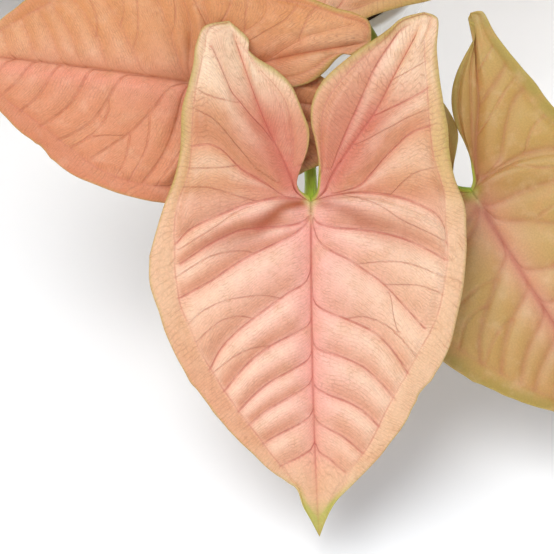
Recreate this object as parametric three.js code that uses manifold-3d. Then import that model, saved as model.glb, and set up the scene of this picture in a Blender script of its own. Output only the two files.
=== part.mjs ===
// Arrowhead plant: a bushy Syngonium podophyllum with salmon-pink, arrowhead-shaped leaves in a plain pot.
// Millimetres, +Z up. The origin is the centre of the pot's underside. Headings are degrees round the pot:
// 0 looks along -Y, where the front leaf hangs over the rim, and 90 along +X.
import * as THREE from "three";
import { mergeVertices } from "three/addons/utils/BufferGeometryUtils.js";
import Module from "manifold-3d";

const wasm = await Module();
wasm.setup();

// ---------------------------------------------------------------- driving sizes
const POT = {
  height: 62,
  baseRadius: 34,
  rimRadius: 46,
  rimHeight: 7, // the plain band round the mouth
  rimStep: 1, // how far that band stands out
  wall: 2.6,
  floor: 3,
  edge: 1, // rounding of the foot and the rim
  segments: 40,
  drainHoles: 4,
  drainRadius: 3.5,
  drainCircle: 20,
  drainSides: 16,
};
const SOIL = {
  level: 53,
  swell: 1.5, // height of its hills
  hillsX: 0.21, // how close the hills follow each other along x, along y, and aslant
  hillsY: 0.17,
  hillsAslant: [0.31, 0.43],
  aslantShare: 0.6,
  segments: 32,
  rings: [8, 16, 24, 31, 37],
};
const FIT = 0.3; // clearance between pieces that touch
const STEM = { radius: 3.3, sides: 10, foot: 26, steps: 6, collar: 4 }; // it stands upright to its collar
const STEM_HOLE = { sides: 12, height: 47 };
const PETIOLE = {
  radius: 1.8,
  sides: 7,
  steps: 14,
  sheathRadius: 2.5, // its clasping base, over a share of its length
  sheathShare: 0.3,
  sheathSteps: 4,
  reach: 2, // how far its end lies under the blade
};
const BLADE = { thickness: 0.9, midrib: 91, lobe: 50 };
const COLOURS = {
  pot: 0xf1f0ec,
  soil: 0x3f2b1f,
  stalk: 0x92872f,
  blade: 0xe6a98c,
};

// ---------------------------------------------------------------- the flat blade
// One arrowhead blade, drawn flat: x to the right, y towards the basal lobes, the petiole's end at 0,0 and
// the tip at y = -91. Each half has a lobe rib, the margin inside the lobe from the sinus to the lobe's end,
// the margin outside it back to the shoulder, and the margin beside the midrib down to the tip, with one
// point for each distance in MIDRIB_STATIONS.
const MIDRIB_STATIONS = [0, 3, 6, 10, 15, 21, 27, 34, 40, 46, 52, 59, 67, 75, 81, 86, 91];
const VEIN_STATIONS = [0, 6, 21, 34, 46, 59, 75, 91]; // where lateral veins leave the midrib
const LEFT_HALF = {
  rib: [[0, 0], [-4.6, 2], [-6.6, 5.6], [-7.9, 10.5], [-11.3, 18.6], [-15.2, 29.2], [-20.3, 43.2]],
  inside: [
    [-0.5, 1.5], [-3, 3.2], [-3.8, 5.9], [-2.2, 10.5], [-0.8, 14.6], [-0.5, 19.4],
    [-2.2, 24.3], [-5.4, 31.6], [-12.2, 37.3], [-16.7, 43.2], [-22.1, 48.9],
  ],
  outside: [
    [-22.1, 48.9], [-28.6, 47.5], [-31, 42.7], [-31.6, 37.8], [-32.9, 32.4], [-34.6, 25.9],
    [-35.1, 19.4], [-35.4, 13.5], [-37, 5.9], [-40.2, -2.2], [-43.5, -14.6],
  ],
  beside: [
    [-43.5, -14.6], [-43.5, -21.3], [-41.9, -27.5], [-40.2, -32.4], [-37.5, -39.4], [-33.8, -46.7],
    [-31.1, -50.5], [-27.8, -54.8], [-24.3, -59.4], [-21.1, -62.9], [-16.5, -67.5], [-11.1, -72.6],
    [-6.8, -75.7], [-3.8, -78], [-2.2, -82.4], [0, -86.4], [2.4, -91],
  ],
};
const RIGHT_HALF = {
  rib: [[0, 0], [4.4, 2.2], [7.4, 6.8], [11.5, 14.5], [18, 25.4], [22.9, 35.6], [28.1, 45.4]],
  inside: [
    [0.5, 1.5], [2.4, 3.2], [2.6, 6.5], [2.2, 10.8], [1.1, 16.2], [-0.1, 21.9],
    [0.5, 27.5], [3.8, 33.5], [10.5, 39.2], [19.7, 45.6], [30.5, 51.3],
  ],
  outside: [
    [30.5, 51.3], [34.3, 48.6], [33.9, 41], [34.6, 34], [35.6, 27.5], [36.7, 21.1],
    [37.3, 14.6], [38.6, 7], [41, 0.3], [41.9, -5.4], [41.9, -11.1],
  ],
  beside: [
    [41.9, -11.1], [41.6, -16.7], [40.8, -23.8], [39.2, -32.4], [36.7, -40.5], [34.3, -45.4],
    [32.1, -48.6], [29.4, -51.8], [28.1, -54.5], [25.9, -58.9], [23.2, -62.9], [18.6, -68.9],
    [13.2, -74.8], [7.8, -80.2], [5.4, -83.7], [3.8, -87.2], [2.4, -91],
  ],
};
const SHOULDER_BOW = 10.8; // how far the first lateral vein bows towards the lobes
const BOW_REACH = 12; // how fast that bow dies away down the midrib
const LOBE_BOW = 0.35; // the share of a lobe over which it dies away
const TIP_DRIFT = 2.4; // how far the tip leans to the right
const GAPE_SKEW = 1.6; // a hollowed lobe is hollowest nearer its end
const LOBE_VEINS = 5; // side veins of each lobe, on each side of its rib
const TURN_REACH = 26; // how far behind the petiole a lobe has its full turn
const DROP_REACH = 22; // and its full drop
const VALLEY_WIDTH = 10; // how far from a rib the blade has risen to its fold
const QUILT = { rise: 0.3, end: 0.95, fade: 0.2, fullWidth: 25 }; // the swelling between the side veins
const RIPPLE = { turns: 26, fullWidth: 30 }; // the waved margin, in radians from the sinus to the tip

// How finely a blade is drawn: rows along a lobe, places down the midrib, and steps from rib to margin.
const FINE_ROWS = { lobe: 10, midrib: MIDRIB_STATIONS, across: [0, 0.3, 0.6, 0.85, 1] };
const PLAIN_ROWS = {
  lobe: 5,
  midrib: [0, 3, 6, 13, 21, 27, 34, 40, 46, 52, 59, 67, 75, 84, 91],
  across: [0, 0.45, 0.85, 1],
};

// ---------------------------------------------------------------- where each leaf is
// at: the petiole's end. heading and lift: where the blade faces. turn: degrees that the tip swings in the
// blade's own plane from pointing straight downhill, positive to the viewer's left. size, front and back
// scale the blade, its part before the petiole and its lobes. arch: how far the tip bends down. fall: the
// same for the lobes. fold: how far the blade rises from its ribs. ridge: how far it swells between the side
// veins. wave and phase: the ripple of its margin. swing, drop and gape: degrees, depth and width by which a
// lobe is turned inwards, lowered or hollowed. from: the height at which the petiole leaves its stem. via:
// points on its way, and neck: its last bend, in the blade's own frame.
const EVEN = { swing: 0, drop: 0, gape: 0 };
const USUAL = {
  heading: 0, lift: 55, turn: 0, size: 0.8, front: 1, back: 1, arch: 14, fall: 6, fold: 2.2,
  ridge: 1, wave: 1.6, phase: 0, left: EVEN, right: EVEN, rows: PLAIN_ROWS, neck: [0, 6, -5],
};
const SHOOTS = [
  {
    name: "stalks_front",
    foot: [2, -13],
    top: [3, -12, 82],
    leaves: [
      {
        name: "leaf_front", at: [6, -109.2, 74], size: 1, arch: 8, fall: 1, ridge: 1.2, wave: 0.8,
        rows: FINE_ROWS, from: 56, neck: [0, 6.5, -10],
        via: [[2, -26, 67], [3, -44, 72], [4.2, -66, 73.5], [5.2, -84, 71]],
      },
      {
        name: "leaf_top", at: [13.5, -26.1, 100.5], turn: 82, size: 0.8, arch: 10, fall: 2, phase: 2,
        from: 70, via: [[6, -14, 84]],
      },
      {
        name: "leaf_crown", at: [6, 16, 172], heading: -8, lift: 58, turn: 8, size: 0.86, phase: 4,
        from: 76, via: [[6, 0, 100], [8, 13, 128]],
      },
    ],
  },
  {
    name: "stalks_left",
    foot: [-15, 4],
    top: [-17, 5, 78],
    leaves: [
      {
        name: "leaf_left", at: [-22.7, -80.8, 89], turn: 97, arch: 12, fall: 0, wave: 0.9, ridge: 1.1,
        left: { swing: 2.5, drop: 0, gape: 0 }, right: { swing: 20, drop: 3, gape: 0 }, back: 1.1,
        rows: FINE_ROWS, from: 56, neck: [0, 6, -9], via: [[-16, -14, 66], [-17, -44, 69.5], [-19, -62, 74]],
      },
      {
        name: "leaf_left_high", at: [-66, 14, 130], heading: -80, lift: 54, turn: 6, size: 0.8, phase: 1,
        from: 66, via: [[-25, 7, 92], [-46, 12, 116]],
      },
      {
        name: "leaf_left_low", at: [-88, 22, 84], heading: -98, lift: 56, turn: -14, size: 0.76,
        phase: 3, from: 58, via: [[-28, 9, 72], [-55, 17, 86]],
      },
      {
        name: "leaf_back_left", at: [-46, 92, 92], heading: -152, lift: 54, turn: 10, size: 0.82,
        phase: 5, from: 62, via: [[-20, 20, 78], [-32, 50, 96]],
      },
    ],
  },
  {
    name: "stalks_right",
    foot: [15, 6],
    top: [16, 8, 80],
    leaves: [
      {
        name: "leaf_right", at: [50.3, -98.7, 64.3], turn: -31.4, size: 0.823, front: 1.11, arch: 3, fall: 1,
        ridge: 1.1, left: { swing: 23, drop: 2, gape: 0 }, right: { swing: 0, drop: 0, gape: 9 },
        rows: FINE_ROWS, from: 54, neck: [-4, 4, -7],
        via: [[14, -16, 64], [19.5, -40, 70], [23.3, -48.7, 70], [33, -67, 67.5], [42, -83, 63]],
      },
      {
        name: "leaf_right_high", at: [52, 26, 148], heading: 66, lift: 54, turn: -10, size: 0.86, phase: 2,
        from: 68, via: [[20, 12, 98], [34, 20, 130]],
      },
      {
        name: "leaf_right_low", at: [92, 26, 88], heading: 96, lift: 56, turn: 12, size: 0.78, phase: 4,
        from: 60, via: [[30, 10, 76], [60, 19, 92]],
      },
      {
        name: "leaf_back", at: [10, 74, 136], heading: 178, lift: 52, turn: -8, size: 0.84, phase: 0,
        from: 64, via: [[16, 22, 92], [14, 48, 124]],
      },
      {
        name: "leaf_back_right", at: [64, 96, 78], heading: 140, lift: 56, turn: 6, size: 0.74, phase: 1,
        from: 56, via: [[22, 26, 72], [42, 60, 84]],
      },
    ],
  },
];

// ---------------------------------------------------------------- geometry helpers
const toRadians = THREE.MathUtils.degToRad;

// A smooth step from 0 to 1 as x goes from 0 to 1.
function ease(x) {
  const k = Math.min(1, Math.max(0, x));
  return k * k * (3 - 2 * k);
}

// A geometry made of shared points and the triangles between them.
function meshOf(points, triangles) {
  const geometry = new THREE.BufferGeometry();
  geometry.setAttribute("position", new THREE.Float32BufferAttribute(points.flat(), 3));
  geometry.setIndex(triangles.flat());
  return geometry;
}

// A closed geometry as a manifold-3d solid.
function solidOf(geometry) {
  const bare = geometry.clone();
  bare.deleteAttribute("normal");
  bare.deleteAttribute("uv");
  const merged = mergeVertices(bare, 1e-4);
  return new wasm.Manifold(
    new wasm.Mesh({
      numProp: 3,
      vertProperties: merged.attributes.position.array,
      triVerts: new Uint32Array(merged.index.array),
    }),
  );
}

// A manifold-3d solid as a geometry.
function geometryOf(solid) {
  const mesh = solid.getMesh();
  const geometry = new THREE.BufferGeometry();
  geometry.setAttribute("position", new THREE.BufferAttribute(mesh.vertProperties, 3));
  geometry.setIndex(new THREE.BufferAttribute(mesh.triVerts, 1));
  return geometry;
}

// A round tube of one radius along a curve.
function tube(curve, radius, sides, steps) {
  const section = new THREE.Shape();
  for (let i = 0; i < sides; i++) {
    const angle = (2 * Math.PI * i) / sides;
    const point = [radius * Math.cos(angle), radius * Math.sin(angle)];
    if (i) section.lineTo(...point);
    else section.moveTo(...point);
  }
  return new THREE.ExtrudeGeometry(section, { steps, extrudePath: curve, curveSegments: 1 });
}

// An upright round bar with its middle at a point.
function uprightBar(x, y, z, radius, height, sides) {
  const bar = new THREE.CylinderGeometry(radius, radius, height, sides).rotateX(Math.PI / 2);
  return solidOf(bar.translate(x, y, z));
}

// A point on a smooth line through flat points, at a share of their number.
function along(points, share) {
  const curve = new THREE.SplineCurve(points.map(([x, y]) => new THREE.Vector2(x, y)));
  return curve.getPoint(Math.min(1, Math.max(0, share)));
}

// The place of x in a rising list, as a whole number and the share of the next step.
function placeIn(list, x) {
  const next = Math.max(1, list.findIndex((v) => v >= x - 1e-9));
  return next - 1 + (x - list[next - 1]) / (list[next] - list[next - 1]);
}

// ---------------------------------------------------------------- pot and soil
// The radius of the pot's inner wall at a height.
function innerRadius(z) {
  return THREE.MathUtils.lerp(POT.baseRadius, POT.rimRadius - POT.rimStep, z / POT.height) - POT.wall;
}

function potGeometry() {
  const { height, baseRadius, rimRadius, rimHeight, rimStep, wall, floor, edge } = POT;
  const underBand = height - rimHeight;
  const outer = (z) => innerRadius(z) + wall;
  const profile = [
    [0, 0],
    [baseRadius - edge, 0],
    [baseRadius, edge],
    [outer(underBand - rimStep), underBand - rimStep],
    [rimRadius - edge / 2, underBand],
    [rimRadius, height - edge],
    [rimRadius - edge, height],
    [innerRadius(height) + edge, height],
    [innerRadius(height), height - edge],
    [innerRadius(floor + edge), floor + edge],
    [innerRadius(floor) - edge, floor],
    [0, floor],
  ];
  const outline = profile.map(([r, z]) => new THREE.Vector2(r, z));
  let pot = solidOf(new THREE.LatheGeometry(outline, POT.segments).rotateX(Math.PI / 2));
  for (let i = 0; i < POT.drainHoles; i++) {
    const angle = (2 * Math.PI * (i + 0.5)) / POT.drainHoles;
    const [x, y] = [POT.drainCircle * Math.cos(angle), POT.drainCircle * Math.sin(angle)];
    pot = pot.subtract(uprightBar(x, y, 0, POT.drainRadius, 4 * floor, POT.drainSides));
  }
  return geometryOf(pot);
}

// The soil's uneven top.
function soilHeight(x, y) {
  const hills = Math.sin(SOIL.hillsX * x + 1.3) * Math.cos(SOIL.hillsY * y - 0.4);
  const aslant = Math.sin(SOIL.hillsAslant[0] * x + SOIL.hillsAslant[1] * y);
  return SOIL.level + SOIL.swell * (hills + SOIL.aslantShare * aslant);
}

function soilGeometry(shoots) {
  const foot = POT.floor + FIT;
  const n = SOIL.segments;
  const topRadius = innerRadius(SOIL.level) - 2 * FIT;
  const rings = [
    ...SOIL.rings.map((r) => [r, null]),
    [topRadius, SOIL.level],
    [innerRadius(foot + POT.edge) - 2 * FIT, foot + POT.edge],
    [innerRadius(foot) - POT.edge - 2 * FIT, foot],
  ];
  const points = [[0, 0, soilHeight(0, 0)]];
  for (const [radius, z] of rings)
    for (let i = 0; i < n; i++) {
      const angle = (2 * Math.PI * i) / n;
      const [x, y] = [radius * Math.cos(angle), radius * Math.sin(angle)];
      points.push([x, y, z ?? soilHeight(x, y)]);
    }
  points.push([0, 0, foot]);
  const triangles = [];
  const last = points.length - 1;
  const at = (ring, i) => 1 + ring * n + (i % n);
  for (let i = 0; i < n; i++) {
    triangles.push([0, at(0, i), at(0, i + 1)]);
    for (let ring = 0; ring + 1 < rings.length; ring++) {
      triangles.push([at(ring, i), at(ring + 1, i), at(ring + 1, i + 1)]);
      triangles.push([at(ring, i), at(ring + 1, i + 1), at(ring, i + 1)]);
    }
    triangles.push([last, at(rings.length - 1, i + 1), at(rings.length - 1, i)]);
  }
  let soil = solidOf(meshOf(points, triangles));
  for (const { foot: [x, y] } of shoots) {
    const middle = STEM.foot - FIT + STEM_HOLE.height / 2;
    const hole = uprightBar(x, y, middle, STEM.radius + FIT, STEM_HOLE.height, STEM_HOLE.sides);
    soil = soil.subtract(hole);
  }
  return geometryOf(soil);
}

// ---------------------------------------------------------------- blades
// The rows of one half of a blade, from the sinus round the lobe and down to the tip. Each row runs from a
// point on a rib to a point on the margin.
function rowsOf(half, rows) {
  const found = [];
  const lobeRow = (margin, u, share, inside) => ({
    from: along(half.rib, u),
    to: along(margin, share),
    bow: inside ? 0 : SHOULDER_BOW * Math.max(0, 1 - u / LOBE_BOW),
    vein: (inside ? 1 : -1) * u * LOBE_VEINS,
  });
  for (let i = 0; i <= rows.lobe; i++) found.push(lobeRow(half.inside, i / rows.lobe, i / rows.lobe, true));
  for (let i = 1; i < rows.lobe; i++)
    found.push(lobeRow(half.outside, 1 - i / rows.lobe, i / rows.lobe, false));
  for (const s of rows.midrib)
    found.push({
      from: new THREE.Vector2(TIP_DRIFT * Math.pow(s / BLADE.midrib, 2.6), -s),
      to: along(half.beside, placeIn(MIDRIB_STATIONS, s) / (MIDRIB_STATIONS.length - 1)),
      bow: SHOULDER_BOW * Math.exp(-s / BOW_REACH) * (1 - s / BLADE.midrib),
      vein: placeIn(VEIN_STATIONS, s),
    });
  return found;
}

// A flat point of the blade after the leaf's own stretch and the turn of its lobes.
function shaped(leaf, lobe, x, y, hollow) {
  const side = lobe === leaf.left ? -1 : 1;
  const back = ease(y / TURN_REACH);
  const swing = toRadians(side * lobe.swing) * back;
  const [wide, long] = [x + side * lobe.gape * hollow, y * (y > 0 ? leaf.back : leaf.front)];
  return [
    leaf.size * (wide * Math.cos(swing) - long * Math.sin(swing)),
    leaf.size * (wide * Math.sin(swing) + long * Math.cos(swing)),
  ];
}

// How high a point of the blade stands over its plane.
function reliefOf(leaf, lobe, row, t, y, progress) {
  const reach = row.from.distanceTo(row.to);
  const forward = Math.max(0, -y) / BLADE.midrib;
  const backward = Math.max(0, y) / BLADE.lobe;
  const bend = -leaf.arch * forward ** 2 - leaf.fall * backward ** 2 - lobe.drop * ease(y / DROP_REACH);
  const valley = leaf.fold * (1 - Math.exp((-t * reach) / VALLEY_WIDTH));
  const inward = ease(t / QUILT.rise) * ease((QUILT.end - t) / QUILT.fade);
  const between = Math.sin(Math.PI * row.vein) ** 2;
  const quilt = leaf.ridge * between * inward * Math.min(1, reach / QUILT.fullWidth);
  const wave = leaf.wave * Math.sin(progress * RIPPLE.turns + leaf.phase) * t ** 3;
  return leaf.size * (bend + valley + quilt + wave * Math.min(1, reach / RIPPLE.fullWidth));
}

// Four corners as two triangles, cut along the diagonal that leaves the thinner one as large as it can be.
function splitsOf(points, a, b, c, d, side) {
  const area = ([p, q, r]) => {
    const [[px, py], [qx, qy], [rx, ry]] = [points[p], points[q], points[r]];
    return -side * ((qx - px) * (ry - py) - (qy - py) * (rx - px));
  };
  const worst = (pair) => Math.min(...pair.filter((corners) => new Set(corners).size === 3).map(area));
  const cuts = [[[a, b, c], [a, c, d]], [[a, b, d], [b, c, d]]];
  return worst(cuts[0]) >= worst(cuts[1]) ? cuts[0] : cuts[1];
}

// The blade's upper face in its own frame: points with x to the right, y to the lobes and z out of the face.
function bladeSheet(leaf) {
  const points = [];
  const triangles = [];
  const known = new Map();
  const pointAt = (x, y, z) => {
    const key = `${x.toFixed(3)} ${y.toFixed(3)} ${z.toFixed(3)}`;
    if (!known.has(key)) {
      known.set(key, points.length);
      points.push([x, y, z]);
    }
    return known.get(key);
  };
  for (const [half, lobe, side] of [[LEFT_HALF, leaf.left, -1], [RIGHT_HALF, leaf.right, 1]]) {
    const rows = rowsOf(half, leaf.rows);
    const grid = rows.map((row, i) =>
      leaf.rows.across.map((t) => {
        const bend = 2 * t * (1 - t) * row.bow;
        const x = THREE.MathUtils.lerp(row.from.x, row.to.x, t);
        const y = THREE.MathUtils.lerp(row.from.y, row.to.y, t) + bend;
        const inner = Math.min(1, i / leaf.rows.lobe) ** GAPE_SKEW;
        const inside = Math.sin(Math.PI * inner) * t;
        const height = reliefOf(leaf, lobe, row, t, y, i / rows.length);
        return pointAt(...shaped(leaf, lobe, x, y, inside), height);
      }),
    );
    for (let i = 0; i + 1 < grid.length; i++)
      for (let j = 0; j + 1 < grid[i].length; j++) {
        const [a, b, c, d] = [grid[i][j], grid[i][j + 1], grid[i + 1][j + 1], grid[i + 1][j]];
        for (const corners of splitsOf(points, a, b, c, d, side))
          if (new Set(corners).size === 3) triangles.push(side < 0 ? corners : corners.toReversed());
      }
  }
  return { points, triangles };
}

// A sheet thickened into a closed shell, with a rim along every edge that only one triangle uses.
function shellOf({ points, triangles }) {
  const half = BLADE.thickness / 2;
  const n = points.length;
  const both = [
    ...points.map(([x, y, z]) => [x, y, z + half]),
    ...points.map(([x, y, z]) => [x, y, z - half]),
  ];
  const faces = [...triangles, ...triangles.map(([a, b, c]) => [a + n, c + n, b + n])];
  const edges = new Set(triangles.flatMap(([a, b, c]) => [`${a} ${b}`, `${b} ${c}`, `${c} ${a}`]));
  for (const edge of edges) {
    const [a, b] = edge.split(" ").map(Number);
    if (!edges.has(`${b} ${a}`)) faces.push([a, a + n, b + n], [a, b + n, b]);
  }
  return meshOf(both, faces);
}

// The turn and place that take a blade's own frame to the plant's frame.
function bladePlace(leaf) {
  const [heading, lift, turn] = [leaf.heading, leaf.lift, leaf.turn].map(toRadians);
  const out = new THREE.Vector3(Math.sin(heading), -Math.cos(heading), 0);
  const up = new THREE.Vector3(0, 0, 1);
  const normal = out.clone().multiplyScalar(Math.cos(lift)).addScaledVector(up, Math.sin(lift));
  const uphill = out.clone().multiplyScalar(-Math.sin(lift)).addScaledVector(up, Math.cos(lift));
  const level = uphill.clone().cross(normal);
  const right = level.clone().multiplyScalar(Math.cos(turn)).addScaledVector(uphill, -Math.sin(turn));
  const lobes = uphill.clone().multiplyScalar(Math.cos(turn)).addScaledVector(level, Math.sin(turn));
  return new THREE.Matrix4().makeBasis(right, lobes, normal).setPosition(...leaf.at);
}

// ---------------------------------------------------------------- stalks
// The petiole's line: out of the stem, through its via points, and up to the blade from under the sinus.
function petioleCurve(leaf, shoot) {
  const place = bladePlace(leaf);
  const run = Math.hypot(leaf.neck[0], leaf.neck[1] + PETIOLE.reach);
  const slope = run / Math.hypot(run, leaf.neck[2] + PETIOLE.radius);
  const under = BLADE.thickness / 2 + FIT + PETIOLE.radius * slope;
  const end = new THREE.Vector3(0, -PETIOLE.reach, -under).applyMatrix4(place);
  const neck = new THREE.Vector3(...leaf.neck).applyMatrix4(place);
  const rise = (leaf.from - STEM.foot) / (shoot.top[2] - STEM.foot);
  const start = new THREE.Vector3(...shoot.foot, STEM.foot).lerp(new THREE.Vector3(...shoot.top), rise);
  const via = leaf.via.map((p) => new THREE.Vector3(...p));
  return new THREE.CatmullRomCurve3([start, ...via, neck, end], false, "centripetal");
}

// The first stretch of a curve as a curve of its own.
function firstStretch(curve, share) {
  const parts = PETIOLE.sheathSteps;
  const points = Array.from({ length: parts + 1 }, (_, i) => curve.getPointAt((share * i) / parts));
  return new THREE.CatmullRomCurve3(points);
}

function stalksGeometry(shoot) {
  const foot = new THREE.Vector3(...shoot.foot, STEM.foot);
  const collar = new THREE.Vector3(...shoot.foot, SOIL.level + STEM.collar);
  const stem = new THREE.CatmullRomCurve3([foot, collar, new THREE.Vector3(...shoot.top)]);
  let stalks = solidOf(tube(stem, STEM.radius, STEM.sides, STEM.steps));
  for (const leaf of shoot.leaves) {
    const line = petioleCurve(leaf, shoot);
    const sheath = firstStretch(line, PETIOLE.sheathShare);
    stalks = stalks.add(solidOf(tube(line, PETIOLE.radius, PETIOLE.sides, PETIOLE.steps)));
    stalks = stalks.add(solidOf(tube(sheath, PETIOLE.sheathRadius, PETIOLE.sides, PETIOLE.sheathSteps)));
  }
  return geometryOf(stalks);
}

// ---------------------------------------------------------------- the plant
function pieceOf(name, geometry, color, roughness) {
  const piece = new THREE.Mesh(geometry, new THREE.MeshStandardMaterial({ color, roughness, metalness: 0 }));
  piece.name = name;
  return piece;
}

const shoots = SHOOTS.map((shoot) => ({
  ...shoot,
  leaves: shoot.leaves.map((leaf) => ({ ...USUAL, ...leaf })),
}));
const plant = new THREE.Group();
plant.add(pieceOf("pot", potGeometry(), COLOURS.pot, 0.35));
plant.add(pieceOf("soil", soilGeometry(shoots), COLOURS.soil, 0.95));
for (const shoot of shoots) {
  plant.add(pieceOf(shoot.name, stalksGeometry(shoot), COLOURS.stalk, 0.5));
  for (const leaf of shoot.leaves) {
    const blade = pieceOf(leaf.name, shellOf(bladeSheet(leaf)), COLOURS.blade, 0.55);
    bladePlace(leaf).decompose(blade.position, blade.quaternion, blade.scale);
    plant.add(blade);
  }
}

export default plant;
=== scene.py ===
"""Dresses the arrowhead plant: twelve pink arrowhead leaves on green stalks, potting soil and a white pot.

Sizes are millimetres, as in the plant's own drawings, and become metres where a mesh is made. A leaf is drawn
flat first, with x to its right, y towards its basal lobes and the end of its petiole at 0, 0. It is then
folded, quilted between its veins and set in its place on the plant.
"""

import logging
import math
from dataclasses import dataclass
from dataclasses import field
from enum import Enum
from functools import partial
from functools import reduce

import bmesh
import bpy
import numpy as np
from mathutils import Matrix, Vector


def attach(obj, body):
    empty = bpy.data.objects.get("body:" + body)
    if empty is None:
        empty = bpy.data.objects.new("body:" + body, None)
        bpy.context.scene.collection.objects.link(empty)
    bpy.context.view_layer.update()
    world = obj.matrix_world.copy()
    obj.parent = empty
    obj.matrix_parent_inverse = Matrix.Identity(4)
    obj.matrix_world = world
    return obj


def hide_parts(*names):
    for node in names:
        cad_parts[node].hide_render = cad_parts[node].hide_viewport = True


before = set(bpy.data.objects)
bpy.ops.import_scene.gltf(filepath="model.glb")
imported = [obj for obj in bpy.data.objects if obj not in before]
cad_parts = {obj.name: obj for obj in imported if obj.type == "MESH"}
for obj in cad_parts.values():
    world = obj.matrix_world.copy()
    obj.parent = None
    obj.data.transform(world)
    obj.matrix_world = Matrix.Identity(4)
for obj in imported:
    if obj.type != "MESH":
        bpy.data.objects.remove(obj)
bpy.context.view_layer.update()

log = logging.getLogger("arrowhead plant")
Array = np.ndarray
Grid = dict[str, Array]
Faces = list[list[int]]
Point = tuple[float, float]
Place = tuple[float, float, float]
Points = tuple[Point, ...]
Colour = tuple[float, float, float, float]
Layers = tuple[tuple[Colour, Array], ...]
Piece = bpy.types.Object
Finish = bpy.types.Material
Socket = bpy.types.NodeSocket

MM = 0.001
TINY = 1e-9


# ---------------------------------------------------------------- numbers and curves
def linear(red: float, green: float, blue: float) -> Colour:
    """A display colour of 0 to 255 a channel as a linear colour with alpha."""
    levels = [channel / 255 for channel in (red, green, blue)]
    return tuple(v / 12.92 if v <= 0.04045 else ((v + 0.055) / 1.055) ** 2.4 for v in levels) + (1.0,)


def ease(x: Array) -> Array:
    """A smooth step from 0 to 1 as x goes from 0 to 1."""
    k = np.clip(x, 0, 1)
    return k * k * (3 - 2 * k)


def between(x: Array, low: float, high: float) -> Array:
    """A smooth step from 0 to 1 as x goes from low to high."""
    return ease((x - low) / (high - low))


def hump(x: Array, start: float, top: float, end: float) -> Array:
    """A smooth rise from 0 at start to 1 at top and fall to 0 at end."""
    return between(x, start, top) * (1 - between(x, top, end))


def fading(x: Array, reach: float) -> Array:
    """A fall from 1 at 0 to about a third at reach."""
    return np.exp(-x / reach)


def bell(x: Array, reach: float) -> Array:
    """A bell curve, 1 at 0 and about a third at reach on either side."""
    return np.exp(-((x / reach) ** 2))


def smoothed(values: Array, reach: int = 4) -> Array:
    """Each value averaged with its neighbours up to reach places away."""
    width = 2 * reach + 1
    return np.convolve(np.pad(values, reach, mode="edge"), np.ones(width) / width, mode="valid")


def stretches(share: Array, count: int) -> tuple[Array, Array]:
    """Where places on a line of count stretches lie.

    Args:
        share: places on the line, from 0 to 1.
        count: how many stretches it has.
    Returns:
        For each place the stretch it is in, and its share of that stretch.
    """
    place = np.clip(share, 0, 1) * count
    first = np.minimum(place.astype(int), count - 1)
    return first, (place - first)[:, None]


def cubic(start: Array, end: Array, leave: Array, arrive: Array, weight: Array) -> Array:
    """The point at weight on a curve that leaves its start and arrives at its end at given rates."""
    bend = (2 * start - 2 * end + leave + arrive) * weight + (-3 * start + 3 * end - 2 * leave - arrive)
    return (bend * weight + leave) * weight + start


def along(points: Points, share: Array) -> Array:
    """A smooth line through flat points.

    Args:
        points: the points, evenly spaced in share.
        share: places on the line, from 0 to 1.
    Returns:
        One flat point for each place.
    """
    knots = np.array(points, float)
    count = len(knots) - 1
    first, weight = stretches(share, count)
    start, end = knots[first], knots[first + 1]
    leave = (end - knots[np.maximum(first - 1, 0)]) / 2
    arrive = (knots[np.minimum(first + 2, count)] - start) / 2
    return cubic(start, end, leave, arrive, weight)


def through_space(points: Array, share: Array) -> Array:
    """A smooth line through points in space, which rounds tight bends without looping.

    Args:
        points: the points, evenly spaced in share.
        share: places on the line, from 0 to 1.
    Returns:
        One point in space for each place.
    """
    knots = np.vstack([2 * points[0] - points[1], points, 2 * points[-1] - points[-2]])
    first, weight = stretches(share, len(points) - 1)
    before, start, end, after = (knots[first + step] for step in range(4))
    steps = ((before, start), (start, end), (end, after))
    span = [np.linalg.norm(b - a, axis=1)[:, None] ** 0.5 for a, b in steps]
    leave = (start - before) / span[0] - (end - before) / (span[0] + span[1]) + (end - start) / span[1]
    arrive = (end - start) / span[1] - (after - start) / (span[1] + span[2]) + (after - end) / span[2]
    return cubic(start, end, leave * span[1], arrive * span[1], weight)


def evenly(line: Array, count: int) -> Array:
    """The same line with points at equal distances.

    Args:
        line: points in space.
        count: how many points to return.
    Returns:
        Points on the line's straight stretches.
    """
    steps = np.linalg.norm(np.diff(line, axis=0), axis=1)
    walked = np.concatenate([[0], np.cumsum(steps)])
    wanted = np.linspace(0, walked[-1], count)
    return np.stack([np.interp(wanted, walked, line[:, axis]) for axis in range(3)], axis=1)


def gap_to(points: Array, line: Array) -> Array:
    """How far flat points are from a flat line.

    Args:
        points: the points, on any number of axes.
        line: the ends of the line's straight stretches.
    Returns:
        The distance of each point.
    """
    nearest = np.full(points.shape[:-1], np.inf)
    for start, end in zip(line[:-1], line[1:]):
        run = end - start
        share = np.clip(((points - start) @ run) / max(run @ run, TINY), 0, 1)
        nearest = np.minimum(nearest, np.linalg.norm(points - start - share[..., None] * run, axis=-1))
    return nearest


def wrapped(numbers: Array) -> Faces:
    """The faces of a grid whose rows close on themselves.

    Args:
        numbers: the grid's point numbers.
    Returns:
        Four-cornered faces.
    """
    following = np.roll(numbers, -1, axis=1)
    corners = [numbers[:-1], following[:-1], following[1:], numbers[1:]]
    return np.stack(corners, axis=-1).reshape(-1, 4).tolist()


def fan(middle: int, ring: Array) -> Faces:
    """Triangles from a middle point to each side of a ring of point numbers."""
    return [[middle, a, b] for a, b in zip(ring.tolist(), np.roll(ring, -1).tolist())]


def turned_over(faces: Faces) -> Faces:
    """The same faces seen from their other side."""
    return [face[:1] + face[:0:-1] for face in faces]


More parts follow.
